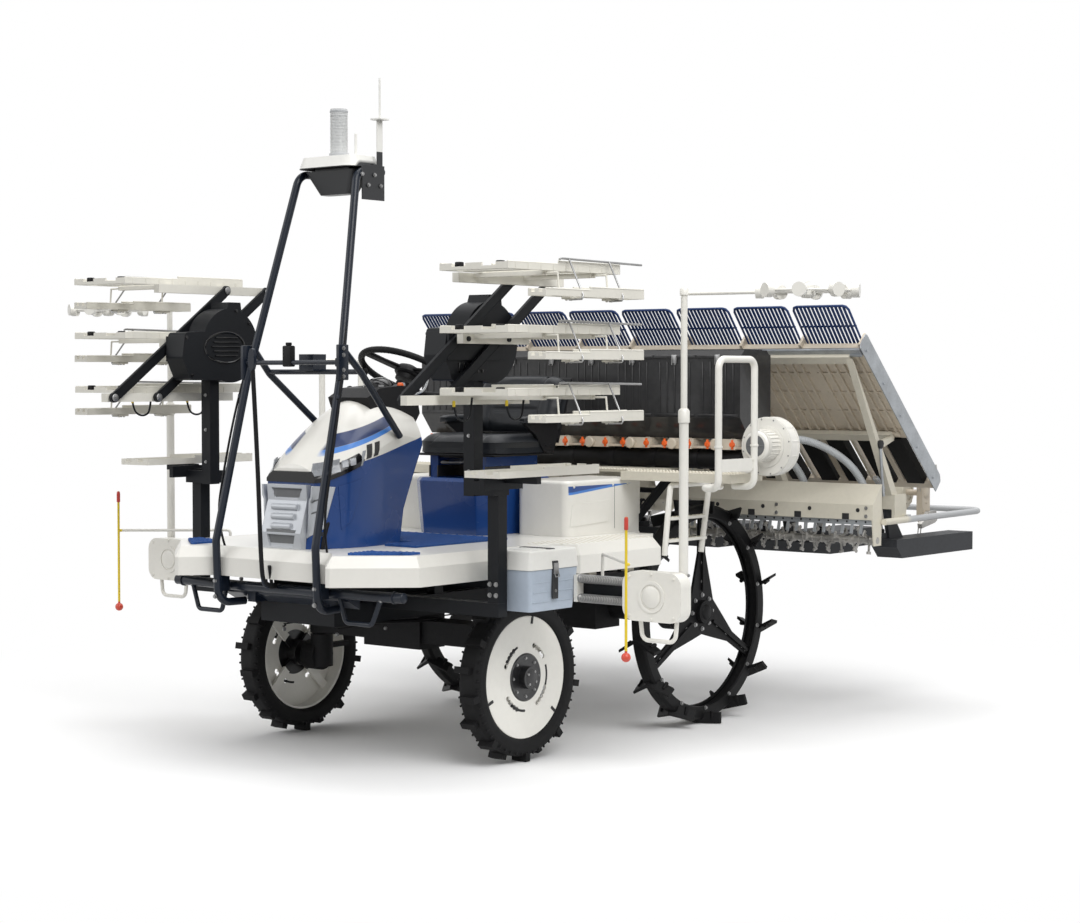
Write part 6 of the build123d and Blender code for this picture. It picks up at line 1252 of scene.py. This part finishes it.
# ---------------------------------------------------------------- stage, light and camera
CAMERA_PLACE = Vector((7381, 5915, 1481)) * MM
CAMERA_TURN = radians(38.82)  # of the view from the X axis
CAMERA_PITCH = radians(2.255)
CAMERA_LENS = 73.2
WORLD_STRENGTH = 0.62
LAMPS = [                     # name, place and size in metres, power in watts
    ("key", (3.5, 5.5, 6.5), 5.0, 440),
    ("fill", (7.0, -4.5, 4.5), 5.0, 150),
    ("top", (-1.0, 0.0, 7.5), 6.0, 260)]


def stand(name, data, place, sight):
    """Add a camera or lamp that looks along sight."""
    holder = bpy.data.objects.new(name, data)
    bpy.context.scene.collection.objects.link(holder)
    holder.matrix_world = Matrix.Translation(place) @ sight.to_track_quat("-Z", "Y").to_matrix().to_4x4()
    return holder


def make_camera():
    """The photo's view."""
    lens = bpy.data.cameras.new("view")
    lens.lens, lens.sensor_width, lens.clip_end = CAMERA_LENS, 36, 100
    sight = Vector((-cos(CAMERA_TURN) * cos(CAMERA_PITCH), -sin(CAMERA_TURN) * cos(CAMERA_PITCH), -sin(CAMERA_PITCH)))
    bpy.context.scene.camera = stand("view", lens, CAMERA_PLACE, sight)


def seen_directly(tree):
    """One for the camera's own rays and for those through glass or off metal, else nought."""
    path = tree.nodes.new("ShaderNodeLightPath")
    return maths(tree, "MAXIMUM", path.outputs["Is Camera Ray"],
                 maths(tree, "MAXIMUM", path.outputs["Is Glossy Ray"], path.outputs["Is Transmission Ray"]))


def make_stage():
    """A pale floor that fades into a white surround."""
    bpy.ops.mesh.primitive_plane_add(size=60, location=(0, 0, -0.0005))
    floor = bpy.context.object
    floor.name = "studio_floor"
    paint = bpy.data.materials.new("floor_paint")
    paint.use_nodes = True
    tree = paint.node_tree
    shader = tree.nodes["Principled BSDF"]
    shader.inputs["Base Color"].default_value = (0.9, 0.9, 0.9, 1)
    shader.inputs["Roughness"].default_value = 0.9
    shader.inputs["Specular IOR Level"].default_value = 0.0
    # away from the machine the floor is as white as the surround
    away = reach(tree, node_of(tree, "ShaderNodeTexCoord").outputs["Object"], (1, 1, 0))
    far = node_of(tree, "ShaderNodeMapRange", {0: away, 1: 1.9, 2: 3.6}, clamp=True,
                  interpolation_type="SMOOTHSTEP").outputs[0]
    glow = node_of(tree, "ShaderNodeEmission", {"Strength": seen_directly(tree)})
    blend = node_of(tree, "ShaderNodeMixShader", {0: far, 1: shader.outputs[0], 2: glow.outputs[0]})
    tree.links.new(blend.outputs[0], tree.nodes["Material Output"].inputs["Surface"])
    floor.data.materials.append(paint)
    world = bpy.data.worlds.new("surround")
    bpy.context.scene.world = world
    world.use_nodes = True
    tree = world.node_tree
    seen = tree.nodes["Background"]
    seen.inputs["Color"].default_value = (1, 1, 1, 1)
    strength = maths(tree, "ADD", WORLD_STRENGTH, times(tree, seen_directly(tree), 1 - WORLD_STRENGTH))
    tree.links.new(strength, seen.inputs["Strength"])


def make_lamps():
    """Three soft area lamps, aimed at the machine."""
    for name, place, size, power in LAMPS:
        lamp = bpy.data.lights.new(name, "AREA")
        lamp.energy, lamp.size = power, size
        stand(name, lamp, place, Vector((0, 0, 0.9)) - Vector(place))


for dress in (dress_frame, dress_floor, dress_hood, dress_dashboard, dress_steering, dress_seat, dress_racks,
              dress_markers, dress_hoppers, dress_blower, dress_hoses, dress_wheels, dress_table, dress_unit,
              dress_front, dress_toolbox, dress_platform, dress_engine, dress_lift):
    dress()
for shape in Shape.waiting[:]:
    shape.place()
make_camera()
make_stage()
make_lamps()
bpy.context.scene.view_settings.view_transform = "Standard"
